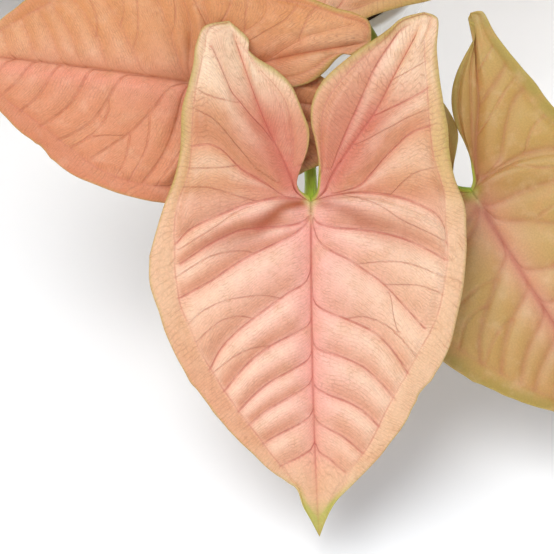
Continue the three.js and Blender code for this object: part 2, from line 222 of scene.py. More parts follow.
def circle(count: int) -> Array:
    """Angles round a circle at equal steps, from 0."""
    return np.linspace(0, 2 * np.pi, count, endpoint=False)


# ---------------------------------------------------------------- shader nodes
class Nodes:
    """A tree of shader nodes, with a short word for each kind that is used.

    Sockets are fed numbers, places, colours or other sockets. Where a node is filled, its settings are named
    in small letters and its sockets with a capital, and _ stands for a space.
    """

    def __init__(self, tree: bpy.types.NodeTree) -> None:
        """Works on a tree."""
        self.tree = tree

    def feed(self, socket: Socket, value: object) -> None:
        """Links a socket to another, or sets its own value.

        Args:
            socket: the socket.
            value: the other socket or the value.
        """
        if isinstance(value, bpy.types.NodeSocket):
            self.tree.links.new(value, socket)
        else:
            socket.default_value = value

    def fill(self, node: bpy.types.Node, **values: object) -> bpy.types.Node:
        """Fills a node.

        Args:
            node: the node.
            values: its settings, and what its sockets are fed.
        Returns:
            The same node.
        """
        for name, value in values.items():
            if name.islower():
                setattr(node, name, value)
            else:
                self.feed(node.inputs[name.replace("_", " ")], value)
        return node

    def node(self, kind: str, **values: object) -> bpy.types.Node:
        """A new node, filled."""
        return self.fill(self.tree.nodes.new("ShaderNode" + kind), **values)

    def attribute(self, name: str, output: str = "Fac") -> Socket:
        """What the mesh holds for each point, read as a number, a place or a colour."""
        return self.node("Attribute", attribute_name=name).outputs[output]

    def place(self) -> Socket:
        """The point's place in the plant's frame."""
        return self.node("TexCoord").outputs["Object"]

    def math(self, kind: str, *values: object) -> Socket:
        """One sum on numbers.

        Args:
            kind: the operation.
            values: what it works on, in order.
        Returns:
            The result's socket.
        """
        made = self.node("Math", operation=kind)
        for socket, value in zip(made.inputs, values):
            self.feed(socket, value)
        return made.outputs[0]

    def times(self, *factors: object) -> Socket:
        """Numbers multiplied in order."""
        return reduce(partial(self.math, "MULTIPLY"), factors)

    def mixed(self, share: object, first: object, second: object) -> Socket:
        """Two numbers mixed, with share of the second."""
        return self.math("ADD", first, self.times(self.math("SUBTRACT", second, first), share))

    def stretch(self, vector: object, scale: Place, shift: Place = (0.0, 0.0, 0.0)) -> Socket:
        """A place scaled and shifted on each axis."""
        return self.node("Mapping", Vector=vector, Scale=scale, Location=shift).outputs[0]

    def pair(self, x: object, y: object, z: object = 0.0) -> Socket:
        """Numbers as one place."""
        return self.node("CombineXYZ", X=x, Y=y, Z=z).outputs[0]

    def span(self, value: object, low: float, high: float, start: float = 0.0, end: float = 1.0) -> Socket:
        """A smooth step from start, where the value is low, to end, where it is high."""
        limits = {"From_Min": low, "From_Max": high, "To_Min": start, "To_Max": end}
        return self.node("MapRange", interpolation_type="SMOOTHSTEP", Value=value, **limits).outputs[0]

    def noise(self, vector: object, scale: float, detail: float = 3.0, rough: float = 0.55) -> Socket:
        """Soft cloudy noise from about 0 to 1."""
        made = self.node("TexNoise", Vector=vector, Scale=scale, Detail=detail, Roughness=rough)
        return made.outputs["Fac"]

    def cells(self, vector: object, scale: float, feature: str = "DISTANCE_TO_EDGE") -> Socket:
        """Distances in a net of cells: to the cell's edge or, with F1, to its middle."""
        return self.node("TexVoronoi", feature=feature, Vector=vector, Scale=scale).outputs["Distance"]

    def blend(self, share: object, first: object, second: object, kind: str = "MIX") -> Socket:
        """Two colours mixed.

        Args:
            share: how much of the second.
            first: the colour under it.
            second: the colour laid on.
            kind: how it is laid on.
        Returns:
            The mixed colour's socket.
        """
        made = self.node("Mix", data_type="RGBA", blend_type=kind)
        colours = [socket for socket in made.inputs if socket.type == "RGBA"]
        for socket, value in zip([made.inputs[0], *colours], (share, first, second)):
            self.feed(socket, value)
        return next(socket for socket in made.outputs if socket.type == "RGBA")


class Sheet(Nodes):
    """The nodes of a material with one surface shader."""

    def __init__(self, name: str) -> None:
        """Starts the material.

        Args:
            name: its name.
        """
        self.material = bpy.data.materials.new(name)
        self.material.use_nodes = True
        super().__init__(self.material.node_tree)
        self.tree.nodes.clear()
        self.surface = self.node("BsdfPrincipled")
        self.node("OutputMaterial", Surface=self.surface.outputs["BSDF"])

    def set(self, **values: object) -> None:
        """Fills the surface shader."""
        self.fill(self.surface, **values)

    def relief(self, height: object, depth: float, strength: float) -> None:
        """Lays on fine relief whose height, from 0 to 1, stands for up to depth, in metres."""
        made = self.node("Bump", Height=height, Distance=depth, Strength=strength)
        self.set(Normal=made.outputs["Normal"])


# ---------------------------------------------------------------- finishes
@dataclass(frozen=True)
class VeinLine:
    """How one kind of vein is drawn on a leaf.

    away and strength name the attributes that hold its distance and how strongly it shows. width is the
    distance at which it has faded, and share how much of its colour shows. Rose veins have the finish's vein
    colour and the others its fork colour. Patchy ones fade here and there.
    """

    away: str
    strength: str
    width: float
    share: float
    rose: bool
    patchy: bool = True


VEIN_LINES = (
    VeinLine("fork", "fork_strength", 0.3, 0.55, rose=False),
    VeinLine("vein", "vein_strength", 0.46, 0.72, rose=True),
    VeinLine("band", "loop_strength", 0.36, 0.5, rose=False),
    VeinLine("rib", "rib_strength", 0.55, 0.8, rose=True, patchy=False),
)


@dataclass(frozen=True)
class BladeFinish:
    """The leaf skin's finish: rose veins, a fine net of veinlets and a soft satin gloss.

    line_share says how dark the veins are, soft how wide, and veinlets how plain the net is. The pitches are
    cells for each millimetre.
    """

    name: str
    line_share: float
    soft: float
    veinlets: float
    vein: Colour
    fork: Colour = linear(184, 100, 80)
    net: Colour = linear(150, 84, 56)
    tan: Colour = linear(208, 148, 98)
    cream: Colour = linear(250, 214, 182)
    roughness: float = 0.46
    mesh_pitch: float = 0.42
    rung_pitch: float = 0.6

    def make(self) -> Finish:
        """The finish as a material.

        Returns:
            A material that reads the colour and the vein distances that each leaf's mesh holds.
        """
        sheet = Sheet(self.name)
        flat = sheet.attribute("flat", "Vector")
        net = sheet.times(self.woven(sheet, flat), sheet.attribute("net"), self.veinlets)
        colour = sheet.blend(net, self.clouded(sheet, flat), self.net)
        patches = sheet.span(sheet.noise(flat, 0.16, 2.0), 0.36, 0.6, 0.4, 1.0)
        drawn = {}
        for line in VEIN_LINES:
            drawn[line.away] = shown = self.line(sheet, line)
            if line.patchy:
                shown = sheet.times(shown, patches)
            ink = self.vein if line.rose else self.fork
            colour = sheet.blend(sheet.times(shown, line.share * self.line_share), colour, ink)
        speckle = sheet.span(sheet.noise(flat, 1.7, 2.0), 0.3, 0.7, 0.93, 1.05)
        colour = sheet.blend(1.0, colour, sheet.pair(speckle, speckle, speckle), "MULTIPLY")

        creases = sheet.math("MAXIMUM", drawn["vein"], drawn["fork"])
        grooves = sheet.math("MAXIMUM", sheet.times(net, 0.5), creases)
        grooves = sheet.math("MAXIMUM", grooves, sheet.times(drawn["rib"], self.line_share))
        pores = sheet.noise(flat, 4.0, 2.0)
        sheet.relief(sheet.math("SUBTRACT", sheet.times(pores, 0.35), grooves), 0.00022, 0.8)
        sheet.set(
            Base_Color=colour,
            Roughness=sheet.span(pores, 0.2, 0.8, self.roughness - 0.05, self.roughness + 0.07),
            Specular_IOR_Level=0.4,
            Subsurface_Weight=0.12,
            Subsurface_Radius=(0.004, 0.0015, 0.0008),
            Subsurface_Scale=0.5,
        )
        return sheet.material

    def clouded(self, sheet: Sheet, flat: Socket) -> Socket:
        """The leaf's own colour with faint clouds of tan and of cream.

        Args:
            sheet: the node sheet.
            flat: the flat place.
        Returns:
            The colour's socket.
        """
        tan = sheet.span(sheet.noise(flat, 0.11, 4.0), 0.48, 0.72, 0.0, 0.28)
        base = sheet.blend(tan, sheet.attribute("tint", "Color"), self.tan)
        aside = sheet.stretch(flat, (1.0, 1.0, 1.0), (31.0, 7.0, 0.0))
        return sheet.blend(sheet.span(sheet.noise(aside, 0.16, 3.0), 0.5, 0.74, 0.0, 0.12), base, self.cream)

    def woven(self, sheet: Sheet, flat: Socket) -> Socket:
        """The fine net of veinlets.

        It has long meshes between the veins, twice as many where the veins are far apart, and rungs across
        the border. It reads attribute grain: the distance from the rib, the count of meshes across and the
        way along the rib.

        Args:
            sheet: the node sheet.
            flat: the flat place.
        Returns:
            How strongly the net shows.
        """
        grain = sheet.node("SeparateXYZ", Vector=sheet.attribute("grain", "Vector"))
        from_rib, across, walk = grain.outputs
        slow = sheet.pair(sheet.times(from_rib, 0.14), sheet.times(across, 0.1))
        wander = sheet.times(sheet.noise(slow, 1.0), 3.0)
        across = sheet.math("ADD", across, wander)
        few = self.meshes(sheet, from_rib, across, self.mesh_pitch)
        many = self.meshes(sheet, from_rib, sheet.times(across, 2.0), self.mesh_pitch)
        inner = sheet.mixed(sheet.attribute("wide"), few, many)
        rungs = self.meshes(sheet, from_rib, sheet.math("ADD", walk, wander), self.rung_pitch)
        net = sheet.mixed(sheet.span(sheet.attribute("band"), -0.3, 0.3), inner, rungs)
        patchy = sheet.span(sheet.noise(flat, 0.22, 3.0), 0.32, 0.62, 0.35, 1.0)
        broken = sheet.span(sheet.noise(flat, 0.85, 2.0), 0.36, 0.6, 0.35, 1.0)
        return sheet.times(net, sheet.times(patchy, broken))

    def meshes(self, sheet: Sheet, from_rib: Socket, across: Socket, pitch: float) -> Socket:
        """Lines along the veins at an even count, tied together by a net of cells.

        Args:
            sheet: the node sheet.
            from_rib: the distance along the lines.
            across: the count across them.
            pitch: cells for each millimetre along the lines.
        Returns:
            How strongly the lines show.
        """
        lines = sheet.span(sheet.math("PINGPONG", across, 0.5), 0.0, 0.22, 0.36, 0.0)
        cells = sheet.cells(sheet.pair(sheet.times(from_rib, pitch), across), 1.0)
        return sheet.math("MAXIMUM", lines, sheet.span(cells, 0.0, 0.11, 0.24, 0.0))

    def line(self, sheet: Sheet, line: VeinLine) -> Socket:
        """A drawn vein.

        Args:
            sheet: the node sheet.
            line: how the vein is drawn.
        Returns:
            How strongly it shows, up to 1 in its middle and 0 away from it.
        """
        away = sheet.math("ABSOLUTE", sheet.attribute(line.away))
        core = sheet.span(away, 0.0, line.width * self.soft, 1.0, 0.0)
        return sheet.times(core, sheet.attribute(line.strength))


@dataclass(frozen=True)
class StalkFinish:
    """Petiole skin: lime where it is young, olive to rose at the sheath, with fine lengthwise streaks."""

    lime: Colour = linear(160, 192, 52)
    olive: Colour = linear(126, 124, 48)
    blush: Colour = linear(178, 128, 84)
    streak: Colour = linear(92, 112, 34)

    def make(self) -> Finish:
        """The finish as a material.

        Returns:
            A material that reads attribute length, 0 at the stem and 1 at the blade, and attribute round.
        """
        sheet = Sheet("stalk_skin")
        length = sheet.attribute("length")
        colour = sheet.blend(sheet.span(length, 0.25, 0.95), self.olive, self.lime)
        mottle = sheet.noise(sheet.stretch(sheet.place(), (140.0, 140.0, 60.0)), 1.0, 4.0)
        colour = sheet.blend(sheet.span(mottle, 0.5, 0.75, 0.0, 0.35), colour, self.blush)
        streaks = sheet.noise(sheet.pair(sheet.attribute("round"), sheet.times(length, 3.0)), 9.0, 3.0)
        colour = sheet.blend(sheet.span(streaks, 0.5, 0.7, 0.0, 0.45), colour, self.streak)
        sheet.relief(streaks, 0.0002, 0.5)
        sheet.set(Base_Color=colour, Roughness=0.42, Specular_IOR_Level=0.45)
        sheet.set(Subsurface_Weight=0.1, Subsurface_Radius=(0.002, 0.003, 0.0008), Subsurface_Scale=0.5)
        return sheet.material


@dataclass(frozen=True)
class GlazeFinish:
    """White glazed earthenware, with a faint warm mottle, a few specks and soft gloss."""

    white: Colour = linear(240, 239, 235)
    warm: Colour = linear(226, 221, 210)
    speck: Colour = linear(170, 156, 138)

    def make(self) -> Finish:
        """The finish as a material.

        Returns:
            The material.
        """
        sheet = Sheet("white_glaze")
        place = sheet.place()
        mottle = sheet.noise(place, 70.0, 5.0)
        colour = sheet.blend(sheet.span(mottle, 0.45, 0.75, 0.0, 0.5), self.white, self.warm)
        specks = sheet.span(sheet.cells(place, 420.0, "F1"), 0.04, 0.1, 1.0, 0.0)
        colour = sheet.blend(sheet.times(specks, 0.25), colour, self.speck)
        sheet.relief(sheet.noise(place, 160.0, 2.0), 0.0002, 0.35)
        sheet.set(Base_Color=colour, Roughness=sheet.span(mottle, 0.3, 0.7, 0.2, 0.3))
        sheet.set(Coat_Weight=0.3, Coat_Roughness=0.12)
        return sheet.material


@dataclass(frozen=True)
class CrumbFinish:
    """Potting mix: a dark base with lighter crumbs, or bark or grit in the colours given.

    grain is how many grains there are in a metre.
    """

    name: str
    dark: Colour
    light: Colour
    grain: float
    roughness: float = 0.92

    def make(self) -> Finish:
        """The finish as a material.

        Returns:
            The material.
        """
        sheet = Sheet(self.name)
        place = sheet.place()
        cloud = sheet.noise(place, self.grain, 6.0, 0.65)
        fine = sheet.noise(place, self.grain * 5, 3.0)
        colour = sheet.blend(sheet.span(cloud, 0.35, 0.7), self.dark, self.light)
        colour = sheet.blend(sheet.span(fine, 0.5, 0.75, 0.0, 0.5), colour, self.dark)
        sheet.relief(sheet.math("ADD", cloud, fine), 0.0006, 0.7)
        sheet.set(Base_Color=colour, Roughness=self.roughness)
        return sheet.material


# ---------------------------------------------------------------- meshes
class Maker:
    """Turns points and faces into Blender pieces that ride on the plant."""

    body = "root"

    def piece(self, name: str, points: Array, faces: Faces, finish: Finish, slot: str) -> Piece:
        """A smooth-shaded mesh piece.

        Args:
            name: the piece's name.
            points: its points, in millimetres.
            faces: point numbers of each face, seen from outside.
            finish: its material.
            slot: the record's material slot, which is not used.
        Returns:
            The new object, riding on the plant's one body.
        """
        mesh = bpy.data.meshes.new(name)
        mesh.from_pydata((points * MM).tolist(), [], faces)
        mesh.materials.append(finish)
        mesh.polygons.foreach_set("use_smooth", [True] * len(mesh.polygons))
        mesh.update()
        made = bpy.data.objects.new(name, mesh)
        bpy.context.scene.collection.objects.link(made)
        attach(made, self.body)
        log.info("%s: %d points, %d faces", name, len(points), len(faces))
        return made

    def hold(self, made: Piece, name: str, values: Array, kind: str = "FLOAT") -> None:
        """Stores one value for each point of a piece.

        Args:
            made: the piece.
            name: the attribute's name.
            values: a number, a place or a colour for each point.
            kind: which of the three it is.
        """
        fields = {"FLOAT": "value", "FLOAT_VECTOR": "vector", "FLOAT_COLOR": "color"}
        layer = made.data.attributes.new(name, kind, "POINT")
        layer.data.foreach_set(fields[kind], np.ascontiguousarray(values, dtype=np.float32).ravel())


# ---------------------------------------------------------------- the blade, drawn flat
@dataclass(frozen=True)
class Half:
    """One half of the flat blade.

    Its margins and side veins are in order from the sinus round the lobe to the tip: inside and outside the
    lobe, then beside the midrib. forks are the weaker veins that branch off the others. A submarginal vein
    runs inside each margin, and an inner vein between the lobe's rib and its sinus. swells say how strongly
    each panel before, between and after the veins is quilted. fold is a valley that runs from the joint.
    """

    rib: Points
    inside: Points
    outside: Points
    beside: Points
    submarginal: Points
    sinus_vein: Points
    inner: Points
    inner_strength: float
    swells: tuple[float, ...]
    veins: tuple[Points, ...]
    forks: tuple[Points, ...]
    fold: Points
    fold_strength: float


LEFT = Half(
    rib=((0, 0), (-3.8, 2.6), (-5.6, 7), (-8.2, 12.8), (-11.7, 20), (-15.5, 29.6), (-20.3, 43.2)),
    inside=(
        (-0.5, 1.5), (-3, 3.2), (-3.8, 5.9), (-2.2, 10.5), (-0.8, 14.6), (-0.5, 19.4), (-2.2, 24.3),
        (-5.4, 31.6), (-9.6, 35.8), (-14.6, 38.9), (-17.0, 41.4), (-17.0, 44.2), (-22.1, 48.9),
    ),
    outside=(
        (-22.1, 48.9), (-28.6, 47.5), (-31, 42.7), (-31.6, 37.8), (-32.9, 32.4), (-34.6, 25.9),
        (-35.1, 19.4), (-35.4, 13.5), (-37, 5.9), (-40.2, -2.2), (-43.5, -14.6),
    ),
    beside=(
        (-43.5, -14.6), (-43.5, -21.3), (-41.9, -27.5), (-40.2, -32.4), (-37.5, -39.4), (-33.8, -46.7),
        (-31.1, -50.5), (-27.8, -54.8), (-24.3, -59.4), (-21.1, -62.9), (-16.5, -67.5), (-11.1, -72.6),
        (-6.8, -75.7), (-3.8, -78), (-2.2, -82.4), (0, -86.4), (2.4, -91),
    ),
    submarginal=(
        (-28, 43), (-30, 36), (-31.6, 26), (-32.4, 13.5), (-33.5, 5.9), (-36.2, -1), (-36.9, -11),
        (-36.4, -21), (-34.3, -30), (-30.5, -39), (-26, -47), (-21, -54.5), (-15.9, -61.3), (-10, -69),
        (-3.5, -77),
    ),
    sinus_vein=(
        (-5.2, 8), (-4.7, 14.4), (-4.9, 18.7), (-6.2, 25.2), (-8.6, 30.2), (-13.4, 35.2), (-18, 41.5),
    ),
    inner=((-7.4, 12.5), (-6.6, 17), (-7.6, 24), (-11, 31), (-15.5, 37.5), (-19, 42.5)),
    inner_strength=0.25,
    swells=(0.4, 0.45, 0.5, 1.5, 1.1, 0.8, 1.1, 1.1, 1.0, 1.2, 0.9, 0.3),
    veins=(
        ((-10.1, 16), (-12.8, 19.8), (-15.9, 23), (-19, 26.8), (-21.3, 29.5), (-23.2, 33.8), (-24.8, 37.6),
         (-26.8, 42)),
        ((-6.2, 0.9), (-8.6, 2.4), (-12, 4.8), (-15.9, 7.1), (-19, 9), (-21.3, 11.3), (-24, 14),
         (-27.6, 15.5), (-32.3, 15)),
        ((-1.6, 0.7), (-8.6, 1.2), (-13.5, 0.3), (-19.7, -1.6), (-26.7, -4.6), (-32.7, -7.6),
         (-36.4, -11.5)),
        ((-0.5, -3.6), (-1.8, -5.2), (-6, -6.4), (-13.3, -7), (-18.8, -7.6), (-23, -9.2), (-27.6, -11.6),
         (-35, -16.6)),
        ((-0.2, -3.4), (-1.1, -5.6), (-3.4, -7.7), (-6.5, -9.7), (-16.2, -14.3), (-22.7, -18.4),
         (-27.5, -21.6), (-35.2, -25.8)),
        ((-0.1, -17), (-0.6, -20), (-2, -22.2), (-6.5, -24.8), (-16.2, -31.9), (-21, -35.9), (-24.6, -40),
         (-27.4, -45.4)),
        ((0, -31), (-0.8, -33.4), (-5.1, -35.8), (-11, -38.9), (-17, -43.5), (-23.4, -51)),
        ((0.2, -40), (-0.8, -42.6), (-5.1, -45.3), (-11, -48.6), (-15.7, -52.4), (-19.8, -56.8)),
        ((0.4, -47), (-0.8, -49.6), (-6.7, -53.2), (-12.1, -56.4), (-17, -60.4)),
        ((0.6, -56), (-0.6, -58.3), (-4, -60.4), (-8.8, -62.8), (-13.2, -65.4)),
        ((1, -64.6), (0, -66.8), (-3, -68.8), (-8.4, -71.4)),
    ),
    forks=(
        ((-19.4, 26.9), (-22.1, 27.2), (-27.1, 28.4), (-31.2, 30.4)),
        ((-9, 5), (-12, 7), (-15.1, 9.2), (-17.6, 12.4), (-20.5, 15.8), (-23.4, 19.4), (-26.5, 22.6),
         (-32, 25.4)),
        ((-20.1, 9.8), (-25.1, 9.2), (-32.9, 9)),
        ((-15, 0.2), (-20, 1.6), (-24, 2.9), (-28.2, 4), (-34.3, 4)),
        ((-17, -1.2), (-21, -3.2), (-25.4, -6.4), (-30, -9.4), (-35.6, -12.8)),
        ((-15.4, -13.8), (-18.5, -13.2), (-23.2, -13.6), (-27.6, -14.8), (-31.7, -17.2), (-36.6, -20.4)),
        ((-8.4, -26), (-13, -25.2), (-17.7, -25.6), (-23.5, -26.8), (-29, -29.3), (-33, -33)),
        ((-16, -31.3), (-19.3, -30.7), (-23.5, -31.6), (-26.4, -33.4), (-31, -37.6)),
        ((-11, -38.7), (-15.5, -39.3), (-20, -41.2), (-24.4, -44.4), (-27, -46.6)),
    ),
    fold=(
        (-2.2, -0.2), (-4.6, -0.6), (-7.4, -1.5), (-10.6, -4), (-14.2, -6.8), (-18.4, -8.8), (-22.4, -10.4),
        (-27.5, -12.4),
    ),
    fold_strength=1.0,
)
RIGHT = Half(
    rib=((0, 0), (3.4, 2.6), (5.9, 7.6), (10.6, 14.8), (17.4, 24.4), (22.9, 34.8), (28.4, 45)),
    inside=(
        (0.5, 1.5), (1.6, 3.2), (1.9, 6.5), (2.0, 10.8), (1.1, 16.2), (-0.1, 21.9), (0.5, 27.5),
        (3.8, 33.5), (10.6, 39.4), (20.3, 46.2), (24.6, 49.7), (30.5, 51.3),
    ),
    outside=(
        (30.5, 51.3), (33.3, 50.3), (34.4, 48.2), (33.9, 41), (34.6, 34), (35.6, 27.5), (36.7, 21.1),
        (37.3, 14.6), (38.6, 7), (41, 0.3), (41.9, -5.4), (41.9, -11.1),
    ),
    beside=(
        (41.9, -11.1), (41.6, -16.7), (40.8, -23.8), (39.2, -32.4), (36.7, -40.5), (34.3, -45.4),
        (32.1, -48.6), (29.4, -51.8), (28.1, -54.5), (25.9, -58.9), (23.2, -62.9), (18.6, -68.9),
        (13.2, -74.8), (7.8, -80.2), (5.4, -83.7), (3.8, -87.2), (2.4, -91),
    ),
    submarginal=(
        (30.5, 44), (31, 34), (31.6, 27), (32.5, 15), (34, 8.9), (35.7, 3), (36.2, -5), (36.7, -11.3),
        (36.2, -20.3), (34, -30.8), (30, -38.9), (25.1, -47.8), (19.7, -57.5), (15.9, -65.6), (9, -74.5),
    ),
    sinus_vein=((3.4, 8.1), (2.9, 14.6), (3, 20), (3.4, 25.4), (6.7, 30.8), (13.2, 38.2), (20, 43.4)),
    inner=((5.2, 7.6), (7, 12.7), (9.7, 19.3), (13.2, 27), (16.3, 33.9), (20.2, 41.4), (24.5, 46.8)),
    inner_strength=1.0,
    swells=(0.4, 0.5, 0.45, 1.4, 0.6, 0.55, 0.8, 1.0, 1.0, 0.7, 0.3),
    veins=(
        ((16.6, 23.2), (18.6, 24), (21, 25.1), (25.6, 27.2), (30.2, 29.6), (32, 31)),
        ((5.8, 2.2), (9, 2.9), (13.2, 4.4), (16.3, 7.7), (19.4, 11.5), (22.5, 14.6), (25.6, 17.7),
         (29, 19.6), (33, 20.8)),
        ((1.6, 0.7), (6.5, 1.9), (12.4, 2.5), (18.6, 2.2), (24, 1.1), (29.4, -0.9), (34, -3.6), (36, -7),
         (36.4, -12)),
        ((0.5, -3.8), (2, -5.8), (6.5, -7), (12.4, -7.4), (21.1, -8.8), (28.1, -11.2), (36.4, -15.6)),
        ((0.2, -4), (0.9, -7.6), (2.4, -10.8), (5.6, -13.2), (10, -15.4), (14.6, -18.4), (19.4, -21.9),
         (24, -26.7), (30.5, -33.9)),
        ((0.2, -22), (0.5, -25.6), (1.7, -28), (5.1, -29.9), (9.7, -31.6), (14.6, -33.8), (18.1, -35.9),
         (22, -40), (26.4, -46.4)),
        ((0.3, -35), (0.7, -38.2), (2.6, -40), (7.8, -41.6), (12.7, -43.7), (15.9, -45.9), (20, -50),
         (23, -53.6)),
        ((0.5, -47), (1.1, -49.8), (4.4, -51.9), (10.5, -54.3), (14.6, -56.9), (18.4, -60.6)),
        ((0.9, -56), (1.5, -59), (4.6, -61.2), (9, -63.6), (14, -67.8)),
        ((1.3, -65), (2.4, -67.6), (5.6, -69.8), (9.4, -73)),
    ),
    forks=(
        ((21.3, 32.6), (24, 34), (27.5, 35.9), (31.2, 38)),
        ((11.8, 15.4), (16, 17.4), (22, 20.6), (27, 23.2), (32, 25)),
        ((21.4, 1.8), (24.8, 5.4), (28.6, 8.1), (34, 9.4)),
        ((9, 1.8), (15.5, 0.4), (19.3, -1.4), (23.4, -4.3), (27.8, -6.6), (36, -10.5)),
        ((13.2, -16.8), (18.6, -16.2), (24, -16.2), (29.4, -17.6), (36.2, -20.4)),
        ((20.3, -22.4), (26, -22.2), (30, -22.6), (35.6, -24.8)),
        ((21.3, -24.2), (21.8, -27), (22.2, -30.5), (23.4, -35)),
        ((9.7, -31.4), (14, -30.8), (19.4, -32.6), (24, -36.2), (28.4, -41.6)),
    ),
    fold=((2.4, -0.4), (5, -0.9), (8, -1.6), (11.4, -3.4), (15.6, -6), (20, -7.8), (25, -9.6), (29, -11.2)),
    fold_strength=0.62,
)
MIDRIB_STATIONS = (0, 3, 6, 10, 15, 21, 27, 34, 40, 46, 52, 59, 67, 75, 81, 86, 91)
FAR_OFF = 900.0


@dataclass(frozen=True)
class Lobe:
    """How one basal lobe differs.

    swing is how many degrees it is turned inwards, drop how far it is lowered, gape how far its sinus margin
    is hollowed, and notch how deep a nick that margin has.
    """

    swing: float = 0.0
    drop: float = 0.0
    gape: float = 0.0
    notch: float = 0.0


@dataclass(frozen=True)
class Rows:
    """How many rows a lobe's margin and the midrib have, and how many steps go from rib to margin."""

    lobe: int
    midrib: int
    steps: int


class Detail(Enum):
    """How finely a leaf is made."""

    CLOSE = Rows(84, 168, 62)
    NEAR = Rows(62, 130, 50)
    FAR = Rows(40, 78, 32)


@dataclass(frozen=True)
class Ripeness:
    """Shares of orange and of olive laid over a leaf's pink, and of green at its joint."""

    orange: float
    olive: float
    green: float


class Tone(Enum):
    """How ripe a leaf is."""

    SALMON = Ripeness(0.0, 0.0, 0.0)
    ORANGE = Ripeness(1.0, 0.0, 0.0)
    OLIVE = Ripeness(0.0, 0.85, 1.0)
    BLUSH = Ripeness(0.25, 0.15, 0.2)
    FADED = Ripeness(0.1, 0.4, 0.6)


class Skin(Enum):
    """How sharply a leaf's veins stand out."""

    CRISP = BladeFinish("leaf_skin_crisp", 0.9, 1.1, 1.0, linear(180, 86, 68))
    SOFT = BladeFinish("leaf_skin_soft", 0.62, 1.9, 1.2, linear(160, 78, 44))
    SMOOTH = BladeFinish("leaf_skin_smooth", 0.5, 3.6, 0.1, linear(164, 84, 64))


@dataclass(frozen=True)
class Leaf:
    """One leaf: where it is, how it is bent, and how finely it is made.

    at is the petiole's end. heading and lift say where the blade faces, and turn how far its tip swings from
    straight downhill. size, front and back scale the blade, its part before the petiole and its lobes. arch
    and fall bend these two down and fold lifts the margins. ridge scales the quilting and wave the ripples,
    which start at phase. The petiole leaves its stem at height rise and goes by way of via to its last bend,
    neck, which is in the blade's own frame.
    """

    name: str
    at: Place
    via: tuple[Place, ...]
    rise: float
    heading: float = 0.0
    lift: float = 55.0
    turn: float = 0.0
    size: float = 0.8
    front: float = 1.0
    back: float = 1.0
    arch: float = 14.0
    fall: float = 6.0
    fold: float = 2.2
    ridge: float = 1.0
    wave: float = 1.6
    phase: float = 0.0
    left: Lobe = Lobe()
    right: Lobe = Lobe()
    neck: Place = (0.0, 6.0, -5.0)
    detail: Detail = Detail.FAR
    tone: Tone = Tone.BLUSH
    skin: Skin = Skin.CRISP

    def axes(self) -> Array:
        """The blade's own directions.

        Returns:
            Its right, its lobes' and its facing direction, one to a row.
        """
        heading, lift, turn = (math.radians(angle) for angle in (self.heading, self.lift, self.turn))
        out = np.array([math.sin(heading), -math.cos(heading), 0])
        up = np.array([0, 0, 1])
        normal = out * math.cos(lift) + up * math.sin(lift)
        uphill = -out * math.sin(lift) + up * math.cos(lift)
        level = np.cross(uphill, normal)
        right = level * math.cos(turn) - uphill * math.sin(turn)
        lobes = uphill * math.cos(turn) + level * math.sin(turn)
        return np.stack([right, lobes, normal])

    def placed(self, points: Array) -> Array:
        """Points of the blade's own frame in the plant's frame."""
        return points @ self.axes() + np.array(self.at)


@dataclass(frozen=True)
class BladeShape:
    """The sizes that turn a flat drawing into a blade with folds, quilting and a thin rounded edge."""

    # the drawing
    midrib: float = 91.0
    lobe: float = 50.0
    tip_drift: float = 2.4
    drift_power: float = 2.6
    shoulder_bow: float = 10.8
    bow_reach: float = 12.0
    lobe_bow: float = 0.35
    crowding: float = 1.12
    crinkle: float = 0.0024
    crinkle_turns: float = 100.0
    meshes: float = 11.0
    sinus_meshes: float = 1.1
    # the side veins
    first_place: float = 0.7
    last_place: float = 1.06
    vein_end: float = 0.5
    vein_gap: float = 0.02
    vein_reach: float = 9.0
    # the lobes
    gape_skew: float = 1.6
    notch_at: float = 0.8
    notch_width: float = 0.07
    turn_reach: float = 26.0
    drop_reach: float = 22.0
    # the relief
    valley_width: float = 10.0
    ripple_turns: float = 26.0
    ripple_width: float = 30.0
    crease: float = 0.3
    pillow_slope: float = 0.4
    pillow_reach: float = 5.0
    plain_swell: float = 0.7
    sinus_swell: float = 0.6
    fork_dip: float = 0.42
    fork_run: float = 1.5
    rib_ease: float = 6.0
    loop_dip: float = 0.16
    loop_width: float = 0.9
    border_swell: float = 0.35
    fold_depth: float = 0.6
    fold_width: float = 1.0
    fold_spread: float = 0.12
    # the section
    thickness: float = 0.5
    edge: float = 0.12
    edge_run: float = 0.5
    rib_bulge: float = 1.1
    rib_width: float = 1.5
    vein_bulge: float = 0.3
    fork_bulge: float = 0.12
    vein_width: float = 0.7
    # the underside's colour
    underside: Colour = linear(206, 196, 176)
    underside_share: float = 0.7


